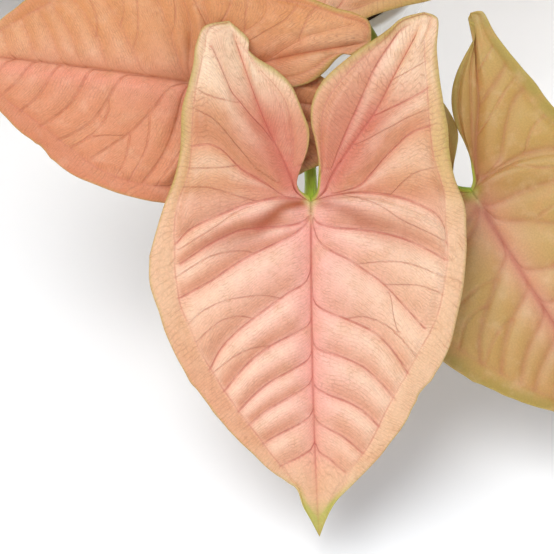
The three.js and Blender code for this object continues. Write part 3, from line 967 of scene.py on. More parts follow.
@dataclass
class Blade:
    """Builds one leaf's blade: its grid, its veins, its relief and its colours."""

    leaf: Leaf
    shape: BladeShape
    maker: Maker

    # rows
    def rows(self, half: Half) -> Grid:
        """The rows of one half, from the sinus round the lobe to the tip.

        Args:
            half: the half's outline.
        Returns:
            For each row: where it starts and ends, how far it bows, how far round it is from 0 to 1, its
            place along the lobe, how far along its rib it starts, and 1 if it is on the lobe's sinus side.
        """
        shape, detail = self.shape, self.leaf.detail.value
        inner = np.linspace(0, 1, detail.lobe + 1)
        outer = np.linspace(1, 0, detail.lobe + 1)[1:-1]
        place = np.linspace(0, 1, detail.midrib + 1)
        last = len(MIDRIB_STATIONS) - 1
        stations = np.interp(place * last, range(last + 1), MIDRIB_STATIONS)
        drift = shape.tip_drift * (stations / shape.midrib) ** shape.drift_power
        starts = (along(half.rib, inner), along(half.rib, outer), np.stack([drift, -stations], axis=1))
        ends = (along(half.inside, inner), along(half.outside, 1 - outer), along(half.beside, place))
        shoulder = fading(stations, shape.bow_reach) * (1 - stations / shape.midrib)
        bows = (0 * inner, np.maximum(0, 1 - outer / shape.lobe_bow), shoulder)
        turns = (inner / 4, 0.5 - outer / 4, 0.5 + stations / shape.midrib / 2)
        return {
            "start": np.vstack(starts),
            "end": np.vstack(ends),
            "bow": shape.shoulder_bow * np.concatenate(bows),
            "round": np.concatenate(turns),
            "lobe": np.concatenate([inner, outer, 0 * place]),
            "walk": np.concatenate([-inner * shape.lobe, -outer * shape.lobe, stations]),
            "inside": np.concatenate([np.ones_like(inner), 0 * outer, 0 * place]),
        }

    def shares(self) -> Array:
        """The steps from rib to margin, closer together at the margin."""
        even = np.linspace(0, 1, self.leaf.detail.value.steps + 1)
        return 1 - (1 - even) ** self.shape.crowding

    def flat(self, half: Half, rows: Grid, share: Array) -> Array:
        """The flat grid of one half, with a finely crinkled margin.

        Args:
            half: the half's outline.
            rows: its rows.
            share: the steps from rib to margin.
        Returns:
            A flat place for each row and step.
        """
        shape = self.shape
        start, end = rows["start"][:, None, :], rows["end"][:, None, :]
        turns = rows["round"] * shape.crinkle_turns + (2.0 * self.leaf.phase + (half is LEFT))
        waves = np.sin(turns) + 0.6 * np.sin(1.77 * turns + 1)
        crinkle = shape.crinkle * waves * (1 - ease(rows["lobe"] * 9 - 8))
        outwards = share[None, :] * (1 + crinkle[:, None] * share[None, :] ** 3)
        flat = start + (end - start) * outwards[..., None]
        flat[..., 1] += 2 * share * (1 - share) * rows["bow"][:, None]
        return flat

    def drawn(self, half: Half) -> Grid:
        """The flat grid of one half, with its vein distances.

        Args:
            half: the half's outline.
        Returns:
            Flat places, and for each of them its distances in millimetres from the rib, the margin, the
            submarginal vein (band), the side veins and the forks, with what the relief and the colours need.
        """
        rows, shape, share = self.rows(half), self.shape, self.shares()
        flat = self.flat(half, rows, share)
        size = flat.shape[:2]
        kept = ("round", "lobe", "inside", "walk")
        spread = {name: np.broadcast_to(rows[name][:, None], size) for name in kept}
        sinus = spread["inside"] > 0.5
        reach = np.linalg.norm(rows["end"] - rows["start"], axis=1)[:, None]
        vein, vein_strength, phase, width = self.lines(flat, half.veins, rows["inside"])
        fork, fork_strength, _, _ = self.lines(flat, half.forks, rows["inside"])
        inner, inner_strength = self.beside_rib(flat, share, reach, half.inner)
        sinus_band, _ = self.beside_rib(flat, share, reach, half.sinus_vein)
        outer_band, _ = self.beside_rib(flat, share, reach, half.submarginal)
        seam = int(rows["inside"].sum())
        before = (1 - rows["lobe"][:, None]) * shape.lobe * shape.sinus_meshes
        across = shape.meshes * np.where(sinus, phase[seam], phase) + np.where(sinus, before, 0)
        from_joint = np.hypot(flat[..., 0], flat[..., 1])
        off_fold = gap_to(flat, along(half.fold, np.linspace(0, 1, 60)))
        fold = bell(off_fold, shape.fold_width + shape.fold_spread * from_joint)
        middles = np.arange(len(half.swells)) + 0.5
        return spread | {
            "flat": flat,
            "share": np.broadcast_to(share, size),
            "reach": np.broadcast_to(reach, size),
            "rib": share * reach,
            "rim": (1 - share) * reach,
            "band": np.where(sinus, sinus_band, outer_band),
            "vein": np.where(sinus, inner, vein),
            "vein_strength": np.where(sinus, inner_strength * half.inner_strength, vein_strength),
            "fork": fork,
            "fork_strength": fork_strength,
            "strip": np.where(sinus, half.inner_strength, 0.0),
            "count": phase,
            "panel": np.where(sinus, 0.0, phase % 1),
            "swell": np.where(sinus, shape.sinus_swell, np.interp(phase, middles, half.swells)),
            "wide": np.where(sinus, 0.0, between(width / shape.meshes, 1.0, 1.6)),
            "fold": half.fold_strength * fold * (1 - between(from_joint, 22, 38)) * ~sinus,
            "grain": np.stack([share * reach, across, rows["walk"][:, None] + 0 * across], axis=-1),
        }

    def lines(self, flat: Array, veins: tuple[Points, ...], sinus: Array) -> tuple[Array, ...]:
        """A signed distance that is 0 on every vein of a set, and how strongly the nearest one shows.

        Each column of the grid runs beside the margin and meets each vein once, so a vein is a row number for
        each column. A count that rises by one from vein to vein then gives a wave that is 0 on each of them.

        Args:
            flat: the grid's flat places.
            veins: the veins, in the order of the grid's rows.
            sinus: 1 for the rows on the lobe's sinus side, which have none of these veins.
        Returns:
            The distances in millimetres, the strengths, the count of veins, which rises by one from vein to
            vein, and how far apart they are.
        """
        shape, (count, columns) = self.shape, flat.shape[:2]
        numbers, cols = np.arange(count), np.arange(columns)
        places = np.empty((len(veins) + 2, columns))
        shown = np.zeros((len(veins) + 2, columns))
        places[0], places[-1] = shape.first_place * sinus.sum(), shape.last_place * count
        for k, vein in enumerate(veins, start=1):
            line = along(vein, np.linspace(0, 1, 12 * len(vein)))
            away = gap_to(flat, line) ** 2 + FAR_OFF * sinus[:, None]
            low = np.clip(np.argmin(away, axis=0), 1, count - 2)
            before, here, after = away[low - 1, cols], away[low, cols], away[low + 1, cols]
            curve = before - 2 * here + after
            shift = np.where(curve > TINY, (before - after) / (2 * np.maximum(curve, TINY)), 0)
            places[k] = low + np.clip(shift, -0.5, 0.5)
            shown[k] = fading(np.minimum(here, before), shape.vein_end)
        steps = np.arange(len(veins) + 2)
        places[1:-1] = np.maximum.accumulate(places[1:-1] + shape.vein_gap * steps[1:-1, None], axis=0)
        phase = np.stack([np.interp(numbers, places[:, j], steps) for j in cols], axis=1)
        nearest = np.clip(np.rint(phase).astype(int), 0, steps[-1])
        strength = shown[nearest, cols[None, :]]
        step = np.linalg.norm(np.gradient(flat, axis=0), axis=-1)
        rise = np.maximum(np.gradient(phase, axis=0), 1e-4)
        away = np.clip(np.sin(np.pi * phase) / np.pi * step / rise, -shape.vein_reach, shape.vein_reach)
        return away, strength, phase, step / rise

    def beside_rib(self, flat: Array, share: Array, reach: Array, vein: Points) -> tuple[Array, Array]:
        """The signed distance from a vein that runs beside a rib, so that each row meets it once.

        Args:
            flat: the grid's flat places.
            share: its steps from rib to margin.
            reach: the length of each row.
            vein: the vein.
        Returns:
            Distances in millimetres, positive towards the margin, and how strongly the vein shows.
        """
        away = gap_to(flat, along(vein, np.linspace(0, 1, 120)))
        nearest = away.min(axis=1)
        numbers = np.arange(len(nearest))
        known = nearest < 0.8
        known[:2] &= nearest[:2] < 0.3
        met = np.interp(numbers, numbers[known], share[np.argmin(away, axis=1)][known], left=0.93, right=0.9)
        shown = smoothed(known.astype(float))[:, None]
        return (share[None, :] - smoothed(met)[:, None]) * reach, np.broadcast_to(shown, flat.shape[:2])

    # relief
    def height(self, grid: Grid, lobe: Lobe) -> Array:
        """How high each place stands over the blade's plane.

        Args:
            grid: the half's flat grid.
            lobe: how its basal lobe differs.
        Returns:
            Heights in millimetres, before the leaf's own size.
        """
        leaf, shape = self.leaf, self.shape
        y = grid["flat"][..., 1]
        forward = np.maximum(0, -y) / shape.midrib
        backward = np.maximum(0, y) / shape.lobe
        bend = -leaf.arch * forward**2 - leaf.fall * backward**2 - lobe.drop * ease(y / shape.drop_reach)
        valley = leaf.fold * (1 - fading(grid["rib"], shape.valley_width))
        ripple = leaf.wave * np.sin(grid["round"] * shape.ripple_turns + leaf.phase) * grid["share"] ** 3
        ripple = ripple * np.minimum(1, grid["reach"] / shape.ripple_width)
        return bend + valley + ripple + leaf.ridge * self.quilt(grid)

    def quilt(self, grid: Grid) -> Array:
        """The swelling between the veins, highest half way between two.

        Args:
            grid: the half's flat grid.
        Returns:
            Heights in millimetres.
        """
        shape, band, shows = self.shape, grid["band"], grid["vein_strength"]
        soft = np.sqrt(grid["vein"] ** 2 + shape.crease**2) - shape.crease
        pillow = shape.pillow_slope * np.minimum(soft, shape.pillow_reach)
        swell = grid["swell"] * (pillow * shows + shape.plain_swell * (1 - shows))
        swell = swell - shape.fork_dip * grid["fork_strength"] * fading(np.abs(grid["fork"]), shape.fork_run)
        inward = ease(grid["rib"] / shape.rib_ease) * ease((0.6 - band) / 3.4)
        loop = shape.loop_dip * bell(band, shape.loop_width) * ease(grid["rib"] / 8)
        across_border = np.clip(band / (band + grid["rim"] + 0.1), 0, 1)
        border = shape.border_swell * np.sin(np.pi * across_border)
        return swell * inward - loop + border - shape.fold_depth * grid["fold"]

    def shaped(self, grid: Grid, lobe: Lobe, side: int) -> Array:
        """Flat places after the leaf's own stretch and the turn of its lobes.

        Args:
            grid: the half's flat grid.
            lobe: how its basal lobe differs.
            side: -1 for the left half, 1 for the right.
        Returns:
            The new flat places.
        """
        leaf, shape = self.leaf, self.shape
        x, y = grid["flat"][..., 0], grid["flat"][..., 1]
        inner = np.where(grid["inside"] > 0.5, grid["lobe"], 1.0)
        hollow = np.sin(np.pi * inner**shape.gape_skew) * grid["share"]
        notch = bell(inner - shape.notch_at, shape.notch_width) * grid["share"] ** 3
        wide = x + side * lobe.gape * hollow + side * lobe.notch * notch
        long = y * np.where(y > 0, leaf.back, leaf.front)
        swing = math.radians(side * lobe.swing) * ease(y / shape.turn_reach)
        turned = (wide * np.cos(swing) - long * np.sin(swing), wide * np.sin(swing) + long * np.cos(swing))
        return leaf.size * np.stack(turned, axis=-1)

    # mesh
    def build(self, finish: Finish) -> None:
        """Makes the blade's piece in place of its plain solid.

        Args:
            finish: the leaf skin.
        """
        leaf, shape = self.leaf, self.shape
        tops, corners, values, shift = [], [], [], 0
        for half, lobe, side in ((LEFT, leaf.left, -1), (RIGHT, leaf.right, 1)):
            grid = self.drawn(half)
            height = leaf.size * self.height(grid, lobe)
            top = np.concatenate([self.shaped(grid, lobe, side), height[..., None]], axis=-1)
            tops.append(top.reshape(-1, 3))
            corners.append(self.quads(height.shape, side) + shift)
            values.append(self.held(grid))
            shift += height.size
        points, quads, first = self.welded(np.vstack(tops), np.vstack(corners))
        held = {name: np.concatenate([half[name] for half in values])[first] for name in values[0]}
        rim = held.pop("rim")
        made = self.maker.piece(leaf.name + "_blade", *self.shell(points, quads, rim, held), finish, "blade")
        kinds = {"tint": "FLOAT_COLOR", "flat": "FLOAT_VECTOR", "grain": "FLOAT_VECTOR"}
        for name, value in held.items():
            below = value
            if name == "tint":
                below = value + (np.array(shape.underside) - value) * shape.underside_share
            self.maker.hold(made, name, np.concatenate([value, below]), kinds.get(name, "FLOAT"))
        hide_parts(leaf.name)

    def held(self, grid: Grid) -> Grid:
        """What the mesh holds for the leaf skin's shader.

        Args:
            grid: the half's flat grid.
        Returns:
            Values for each place, one to a row, with rim, which only the shell needs.
        """
        leaf, y = self.leaf, grid["flat"][..., 1]
        olive = leaf.tone.value.olive
        offset = 37.0 * leaf.phase + 11.0 * leaf.size
        towards_tip = between(-y, 68, 80)
        within = ease((2.0 - grid["band"]) / 3)
        numbers = {name: grid[name] for name in ("rib", "vein", "fork", "rim", "band", "wide")} | {
            "rib_strength": self.rib_fade(grid) * (1 - 0.7 * between(-y, 82, 90)),
            "vein_strength": grid["vein_strength"] * within * self.calm(grid),
            "loop_strength": ease(grid["rib"] / 8) * (1 - 0.7 * olive) * (1 - towards_tip),
            "fork_strength": grid["fork_strength"] * within,
            "net": 1.0 + 0.2 * between(y, -2, 6) - 0.45 * towards_tip,
        }
        flat = grid["flat"].reshape(-1, 2)
        return {name: value.ravel() for name, value in numbers.items()} | {
            "tint": Palette(leaf.tone.value).lay(grid).reshape(-1, 4),
            "flat": np.column_stack([flat + offset, np.zeros(len(flat))]),
            "grain": grid["grain"].reshape(-1, 3) + offset,
        }

    def calm(self, grid: Grid) -> Array:
        """How far side veins stay visible: less in the left half of an orange leaf and in an olive one."""
        ripe = self.leaf.tone.value
        return 1 - 0.6 * ripe.orange * (grid["flat"][..., 0] < 0) - 0.35 * ripe.olive

    def rib_fade(self, grid: Grid) -> Array:
        """How strongly the midrib and the lobes' ribs show.

        Args:
            grid: the half's flat grid.
        Returns:
            Strengths, high near the joint but for the ribs' first stretch.
        """
        along_leaf = np.clip(-grid["walk"] / self.shape.midrib, -1, 1)
        fade = 0.35 + 0.65 * ease(1 + 1.1 * along_leaf) * (1 - 0.75 * ease(grid["lobe"]))
        return fade * (0.25 + 0.75 * between(np.abs(grid["walk"]), 2, 9))

    def quads(self, size: tuple[int, int], side: int) -> Array:
        """The four corners of each cell of a grid, seen from above.

        Args:
            size: the grid's rows and columns.
            side: -1 for the left half, 1 for the right.
        Returns:
            Four point numbers for each cell.
        """
        numbers = np.arange(size[0] * size[1]).reshape(size)
        ring = [numbers[:-1, :-1], numbers[:-1, 1:], numbers[1:, 1:], numbers[1:, :-1]]
        corners = np.stack([corner.ravel() for corner in ring], axis=1)
        return corners if side < 0 else corners[:, ::-1]

    def welded(self, points: Array, quads: Array) -> tuple[Array, Array, Array]:
        """Points that coincide made one.

        Args:
            points: the upper face's points.
            quads: its cells.
        Returns:
            The points that stay, the cells between them, and which old point each new one was.
        """
        keys = np.round(points * 2000).astype(np.int64)
        _, first, place = np.unique(keys, axis=0, return_index=True, return_inverse=True)
        return points[first], place.reshape(-1)[quads], first

    def shell(self, points: Array, quads: Array, rim: Array, held: Grid) -> tuple[Array, Faces]:
        """Both faces of the blade and the rim between them.

        Args:
            points: the middle sheet's points, in the blade's own frame.
            quads: its cells.
            rim: each point's distance from the margin.
            held: the values of each point, of which the distances are used.
        Returns:
            The shell's points in the plant's frame, and its faces.
        """
        shape, size, count = self.shape, self.leaf.size, len(points)
        taper = np.clip(rim / shape.edge_run, 0, 1) ** 0.5
        half = (shape.edge + (shape.thickness - shape.edge) * taper) / 2
        bulge = shape.rib_bulge * bell(held["rib"], shape.rib_width) * held["rib_strength"]
        for name, depth in (("vein", shape.vein_bulge), ("fork", shape.fork_bulge)):
            bulge = bulge + depth * bell(held[name], shape.vein_width) * held[f"{name}_strength"]
        top, bottom = points.copy(), points.copy()
        top[:, 2] += size * half
        bottom[:, 2] -= size * (half + bulge * np.clip(rim / 3, 0, 1))
        faces: Faces = []
        edges: dict[tuple[int, int], None] = {}
        for corners in quads.tolist():
            loop = [corner for k, corner in enumerate(corners) if corner != corners[k - 1]]
            if len(set(loop)) < 3:
                continue
            faces += [loop, [corner + count for corner in reversed(loop)]]
            edges.update(dict.fromkeys(zip(loop, loop[1:] + loop[:1])))
        faces += [[a, a + count, b + count, b] for a, b in edges if (b, a) not in edges]
        return self.leaf.placed(np.vstack([top, bottom])), faces


@dataclass(frozen=True)
class Palette:
    """The colours of a blade and where each lies."""

    ripe: Ripeness
    flesh: Colour = linear(243, 196, 170)
    heart: Colour = linear(242, 170, 156)
    root: Colour = linear(220, 118, 102)
    outer: Colour = linear(238, 188, 152)
    ginger: Colour = linear(222, 164, 118)
    # painted light: a cream-yellow wash that makes the right half, which faces the light, lighter
    painted_lit_half: Colour = linear(244, 206, 168)
    # also a painted highlight, laid on the high side of each panel and on a lobe's strip
    cream: Colour = linear(250, 216, 186)
    # painted shade on the low side of each panel and beside a lobe's strip, partly the leaf's own colour
    shade: Colour = linear(202, 132, 94)
    # painted shade in the fold that runs from the joint
    painted_fold_shade: Colour = linear(164, 82, 44)
    lobe: Colour = linear(208, 136, 102)
    lobe_side: Colour = linear(224, 170, 124)
    deep: Colour = linear(202, 110, 90)
    lobe_end: Colour = linear(248, 214, 180)
    border: Colour = linear(226, 182, 142)
    sand: Colour = linear(210, 176, 112)
    rust: Colour = linear(212, 134, 98)
    edge: Colour = linear(182, 160, 82)
    ochre: Colour = linear(166, 134, 52)
    green: Colour = linear(176, 178, 78)
    joint: Colour = linear(164, 176, 50)
    pale: Colour = linear(222, 196, 142)
    orange: Colour = linear(218, 150, 92)
    # burnt orange by the ribs, joint and border, and also painted shade on an orange leaf's right half
    burnt_and_shade: Colour = linear(180, 96, 50)
    blush: Colour = linear(234, 150, 122)
    olive: Colour = linear(182, 152, 72)
    bark: Colour = linear(166, 92, 64)
    # the olive leaf's margin colour, darkened in part as painted shade where the margin curls away
    moss_and_rim_shade: Colour = linear(150, 134, 56)

    def lay(self, grid: Grid) -> Array:
        """The colour of every place of a half's grid.

        Args:
            grid: the flat grid with its distances.
        Returns:
            Linear colours with alpha.
        """
        x, y = grid["flat"][..., 0], grid["flat"][..., 1]
        from_joint = np.hypot(x, y - 1.0)
        in_lobe = between(y, -1, 5) * between(from_joint, 2, 9)
        grid = grid | {"x": x, "y": y, "from_joint": from_joint, "in_lobe": in_lobe}
        under = np.broadcast_to(np.array(self.flesh), x.shape + (4,))
        coats = (self.field, self.panels, self.strip, self.veined, self.bordered, self.ripened, self.rimmed)
        for colour, share in (layer for coat in coats for layer in coat(grid)):
            under = under + (np.array(colour) - under) * np.clip(share, 0, 1)[..., None]
        return under

    def field(self, grid: Grid) -> Layers:
        """The broad colours: rose by the midrib, tan in the lobes, cream at their ends, and painted light
        that makes the right half lighter.

        Args:
            grid: the half's grid.
        Returns:
            Colours and their shares.
        """
        x, y, rib, from_joint, in_lobe = (grid[name] for name in ("x", "y", "rib", "from_joint", "in_lobe"))
        towards_tip = between(-y, 52, 78)
        ends = between(y, 20, 38) * np.where(x > 0, 0.3 + 0.7 * between(x, 14, 25), 1)
        return (
            (self.outer, between(rib, 12, 36) * 0.8 + towards_tip * 0.4),
            # painted light: the right half outside the lobes made lighter
            (self.painted_lit_half, between(x, 3, 24) * 0.5 * (1 - in_lobe)),
            (self.heart, fading(rib, 8) * 0.8 * (1 - 0.7 * towards_tip)),
            (self.heart, fading(from_joint, 24) * 0.6),
            (self.ginger, towards_tip * 0.45),
            (self.lobe, in_lobe * 0.9),
            (self.lobe_side, in_lobe * between(rib, 7, 22) * 0.75),
            (self.deep, in_lobe * fading(rib, 6) * np.where(x < 0, 0.85, 0.72)),
            (self.deep, fading(from_joint, 14) * between(y, -1, 4) * 0.5),
            (self.lobe_end, ends * 0.9),
        )

    def panels(self, grid: Grid) -> Layers:
        """Painted highlight in cream high between two veins and painted shade in brown low between them,
        partly the leaf's own colour, and painted shade in dark brown in the fold.

        Args:
            grid: the half's grid.
        Returns:
            Colours and their shares.
        """
        rib, in_lobe = grid["rib"], grid["in_lobe"]
        inside = (1 - between(grid["band"], -1.5, 0.5)) * (1 - grid["inside"])
        depth = np.maximum(np.minimum(grid["swell"], 1.1), 1.1 * in_lobe)
        panel = inside * between(rib, 1.0, 8.0) * depth
        # painted shade: the left half, which faces away from the light, gets darker panels
        left = between(-grid["x"], 4, 12)
        # painted shade before each vein and painted highlight just below it, as the quilting would be lit
        painted_shade_side = hump(grid["panel"], 0.38, 0.86, 1.04) * (0.3 + 0.7 * between(grid["count"], 0.9, 1.1))
        painted_highlight_side = hump(grid["panel"], 0.02, 0.26, 0.55) * between(rib, 3, 12)
        return (
            (self.cream, panel * painted_highlight_side * (0.42 - 0.12 * in_lobe)),
            (self.shade, panel * painted_shade_side * (0.56 + 0.14 * in_lobe + 0.1 * left)),
            # painted shade along the fold valley, fading away from the joint
            (self.painted_fold_shade, inside * grid["fold"] * (0.96 - 0.35 * between(rib, 10, 26))),
        )

    def strip(self, grid: Grid) -> Layers:
        """Painted highlight on the strip between a lobe's rib and its inner vein, and painted shade in brown
        on either side.

        Args:
            grid: the half's grid.
        Returns:
            Colours and their shares.
        """
        shown, away, rib = grid["strip"] * grid["vein_strength"], grid["vein"], grid["rib"]
        # painted shade beyond the inner vein and along the rib
        brown = fading(np.maximum(away, 0), 2.4) * (away > 0) + 0.5 * fading(rib, 1.1)
        return (
            # painted highlight beside the inner vein, then painted shade
            (self.cream, shown * (bell(away + 1.6, 1.3) * between(rib, 0.5, 2.0)) * 0.3),
            (self.shade, shown * brown * 0.6),
        )

    def veined(self, grid: Grid) -> Layers:
        """Rose beside the ribs and the side veins."""
        halo = grid["vein_strength"] * fading(np.abs(grid["vein"]), 1.1)
        return ((self.root, fading(grid["rib"], 1.2) * 0.45 + halo * 0.32),)

    def bordered(self, grid: Grid) -> Layers:
        """The border outside the submarginal vein: tan, rusty at the lower left, sandy by the lobes.

        Args:
            grid: the half's grid.
        Returns:
            Colours and their shares.
        """
        x, y = grid["x"], grid["y"]
        border = between(grid["band"], -0.4, 1.0) * (1 - 0.85 * grid["inside"])
        ochre = np.exp(-(((x - 21) / 7) ** 2) - ((y - 45.5) / 5) ** 2) * (1 - between(grid["rim"], 1.0, 4.0))
        return (
            (self.border, border * 0.8 * (1 - 0.5 * grid["in_lobe"])),
            (self.rust, border * (hump(-y, 24, 56, 80) * (x < 0)) * 0.5),
            (self.sand, border * (hump(y, -10, 12, 46) * np.where(x > 0, 0.75, 0.4))),
            (self.ochre, ochre * 0.8),
        )

    def ripened(self, grid: Grid) -> Layers:
        """The orange or the olive of a leaf that is riper, weakest by its veins, with painted shade on the
        orange leaf's right half and, partly, along the olive leaf's margin.

        Args:
            grid: the half's grid.
        Returns:
            Colours and their shares.
        """
        x, rib, from_joint, in_lobe = (grid[name] for name in ("x", "rib", "from_joint", "in_lobe"))
        orange, olive = self.ripe.orange, self.ripe.olive
        burnt_and_shade = 0.5 * fading(rib, 1.8) + 0.5 * fading(from_joint, 16) + 0.3 * between(grid["band"], -5, 3)
        # painted shade: the right half, away from the lobes, made darker
        burnt_and_shade = burnt_and_shade + 0.28 * between(x, 0, 8) * (1 - in_lobe) + 0.06
        beside = bell(rib - 3.5, 3) * between(x, 0, 1) * (1 - in_lobe)
        pinkness = 0.8 * fading(rib, 8) * (1 - in_lobe)
        halo = grid["vein_strength"] * fading(np.abs(grid["vein"]), 2.2)
        streaks = 0.2 * halo + 0.35 * fading(rib, 3) * in_lobe + 0.5 * fading(from_joint, 15)
        streaks = streaks + 0.22 * between(-grid["y"], 25, 60) + 0.3 * fading(rib, 2.5) * (1 - in_lobe)
        return (
            (self.orange, orange * (0.6 + 0.25 * between(rib, 4, 20))),
            (self.burnt_and_shade, orange * burnt_and_shade),
            (self.blush, orange * (0.6 * beside + 0.3 * between(x, 0, 8) * (1 - in_lobe))),
            (self.olive, olive * np.clip(1.1 - pinkness, 0, 1)),
            (self.bark, olive * streaks),
            # olive margin colour, partly painted shade where the margin curls away
            (self.moss_and_rim_shade, olive * (1 - between(grid["rim"], 1.0, 6.5)) * 0.8),
        )

    def rimmed(self, grid: Grid) -> Layers:
        """The green of the margin, the tip and the joint.

        Args:
            grid: the half's grid.
        Returns:
            Colours and their shares.
        """
        y, rim, from_joint, in_lobe = (grid[name] for name in ("y", "rim", "from_joint", "in_lobe"))
        green = self.ripe.green
        uneven = 0.5 + 0.5 * np.sin(grid["round"] * 61) * np.sin(grid["round"] * 23 + 1)
        edge = 1 - between(rim, 0.1, 0.5 + (0.4 + 1.7 * uneven) * in_lobe + 0.4 * uneven)
        tip = between(-y, 79, 88) + (1 - between(rim, 0.3, 2.2)) * between(-y, 72, 84)
        start = bell(grid["rib"], 0.9) * between(-y, -1, 1) * (1 - between(-y, 2, 8))
        wide = 1 + 0.8 * green
        sinus = (1 - between(rim, 0.6 * wide, 2.0 * wide)) * (1 - between(from_joint, 5, 12)) * (y > 0)
        return (
            (self.edge, edge * (0.62 + 0.16 * in_lobe)),
            (self.border, between(-y, 68, 80) * 0.7),
            (self.green, np.clip(tip, 0, 1) * 0.85),
            (self.pale, start * 0.8),
            (self.joint, np.clip(sinus + bell(from_joint, 1.8 + 1.4 * green), 0, 1) * 0.9),
        )


# ---------------------------------------------------------------- stems and petioles
@dataclass(frozen=True)
class StalkShape:
    """The sizes of stems and petioles. Shares are of a petiole's length."""

    stem_radius: float = 3.3
    stem_foot: float = 26.0
    collar: float = 57.0
    stem_top: float = 2.5
    scar_swell: float = 0.45
    scar_drop: float = 1.5
    scar_width: float = 0.9
    petiole_radius: float = 1.8
    taper: float = 0.08
    sheath_radius: float = 2.5
    sheath_share: float = 0.3
    under_blade: float = 0.75
    reach: float = 2.0
    end_rise: float = 0.55
    tip_run: float = 2.5
    tip_rise: float = 1.25
    tip_share: float = 0.45
    neck_swell: float = 1.0
    neck_at: float = 0.985
    neck_width: float = 0.045
    groove: float = 0.34
    stem_groove: float = 0.12
    groove_width: float = 0.42
    sides: int = 20
    steps: int = 90
    stem_steps: int = 70


@dataclass(frozen=True)
class Shoot:
    """One shoot: a short stem with the petioles of its leaves."""

    name: str
    foot: Point
    top: Place
    leaves: tuple[Leaf, ...]

    def on_stem(self, height: float, shape: StalkShape) -> Array:
        """The point of the stem's straight line at a height.

        Args:
            height: the height.
            shape: the sizes common to all stalks.
        Returns:
            A point in space.
        """
        foot = np.array([*self.foot, shape.stem_foot])
        top = np.array(self.top)
        return foot + (top - foot) * (height - shape.stem_foot) / (self.top[2] - shape.stem_foot)


@dataclass
class Stalks:
    """Builds a shoot's stem and petioles as one piece. The lists gather its tubes one after the other."""

    shoot: Shoot
    shape: StalkShape
    maker: Maker
    points: list[Array] = field(default_factory=list)
    faces: Faces = field(default_factory=list)
    length: list[Array] = field(default_factory=list)
    turned: list[Array] = field(default_factory=list)

    def build(self, finish: Finish) -> None:
        """Makes the piece in place of the shoot's plain solid.

        Args:
            finish: the stalk skin.
        """
        self.stem()
        for leaf in self.shoot.leaves:
            self.petiole(leaf)
        name, points = self.shoot.name + "_skin", np.vstack(self.points)
        made = self.maker.piece(name, points, self.faces, finish, "stalk")
        self.maker.hold(made, "length", np.concatenate(self.length))
        self.maker.hold(made, "round", np.concatenate(self.turned))
        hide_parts(self.shoot.name)

    def stem(self) -> None:
        """The upright stem, with a swollen ring at each leaf scar and a rounded top."""
        shape, foot = self.shape, self.shoot.foot
        knots = np.array([[*foot, shape.stem_foot], [*foot, shape.collar], self.shoot.top])
        line = evenly(through_space(knots, np.linspace(0, 1, 120)), shape.stem_steps)
        height = line[:, 2]
        radius = np.full(len(line), shape.stem_radius)
        for leaf in self.shoot.leaves:
            radius += shape.scar_swell * bell(height - leaf.rise + shape.scar_drop, shape.scar_width)
        radius *= np.sqrt(np.clip((height[-1] - height) / shape.stem_top, 0, 1)) * 0.9 + 0.1
        self.sweep(line, radius, np.zeros(len(line)), np.full(len(line), shape.stem_groove))

    def petiole(self, leaf: Leaf) -> None:
        """One petiole: a clasping sheath, a channelled stalk and a slightly swollen neck under the blade.

        Args:
            leaf: the leaf that it carries.
        """
        shape = self.shape
        under = -(shape.under_blade + shape.petiole_radius)
        tip = [0, -shape.reach - shape.tip_run, under + shape.tip_rise]
        end = leaf.placed(np.array([[0, -shape.reach, under + shape.end_rise], tip]))
        neck = leaf.placed(np.array([leaf.neck]))
        knots = np.vstack([self.shoot.on_stem(leaf.rise, shape), np.array(leaf.via), neck, end[:1]])
        line = evenly(through_space(knots, np.linspace(0, 1, 400)), shape.steps)
        line = np.vstack([line, end[1:]])
        share = np.linspace(0, 1, len(line))
        clasp = 1 - between(share, shape.sheath_share * 0.7, shape.sheath_share * 1.2)
        sheath = (shape.sheath_radius - shape.petiole_radius) * clasp
        neck_swell = shape.neck_swell * bell(share - shape.neck_at, shape.neck_width)
        radius = shape.petiole_radius * (1 - shape.taper * share) + sheath + neck_swell
        radius[-1] *= shape.tip_share
        groove = shape.groove * (0.6 + 1.1 * (1 - between(share, 0.1, 0.4)))
        self.sweep(line, radius, groove, share)

    def sweep(self, line: Array, radius: Array, groove: Array, share: Array) -> None:
        """A closed tube along a line, with a channel in its upper side.

        Args:
            line: the tube's middle line.
            radius: its radius at each point.
            groove: the channel's depth, as a share of the radius.
            share: what attribute length says at each point.
        """
        sides = self.shape.sides
        tangent = np.gradient(line, axis=0)
        tangent /= np.linalg.norm(tangent, axis=1)[:, None]
        upper = self.upper_sides(tangent)
        across = np.cross(tangent, upper)
        angle = circle(sides)
        from_top = np.abs((angle + np.pi) % (2 * np.pi) - np.pi)
        out = radius[:, None] * (1 - groove[:, None] * bell(from_top, self.shape.groove_width)[None, :])
        ring = upper[:, None] * np.cos(angle)[None, :, None] + across[:, None] * np.sin(angle)[None, :, None]
        base = sum(len(part) for part in self.points)
        numbers = np.arange(len(line) * sides).reshape(len(line), sides) + base
        self.points.append((line[:, None] + out[..., None] * ring).reshape(-1, 3))
        self.faces += wrapped(numbers) + [numbers[0][::-1].tolist(), numbers[-1].tolist()]
        self.length.append(np.repeat(share, sides))
        self.turned.append(np.tile(np.sin(angle) * 0.7 + 0.2 * base, len(line)))

    def upper_sides(self, tangent: Array) -> Array:
        """The directions square to a line that point most nearly up, carried smoothly along it.

        Args:
            tangent: the line's direction at each point.
        Returns:
            One direction for each point.
        """
        upper = np.empty_like(tangent)
        current = np.array([0.02, 0.05, 1.0])
        if abs(tangent[0] @ current) > 0.9:
            current = np.array([1.0, 0.1, 0.0])
        for k, direction in enumerate(tangent):
            lean = current + np.array([0, 0, 0.05])
            lean = lean - direction * (lean @ direction)
            current = lean / np.linalg.norm(lean)
            upper[k] = current
        return upper


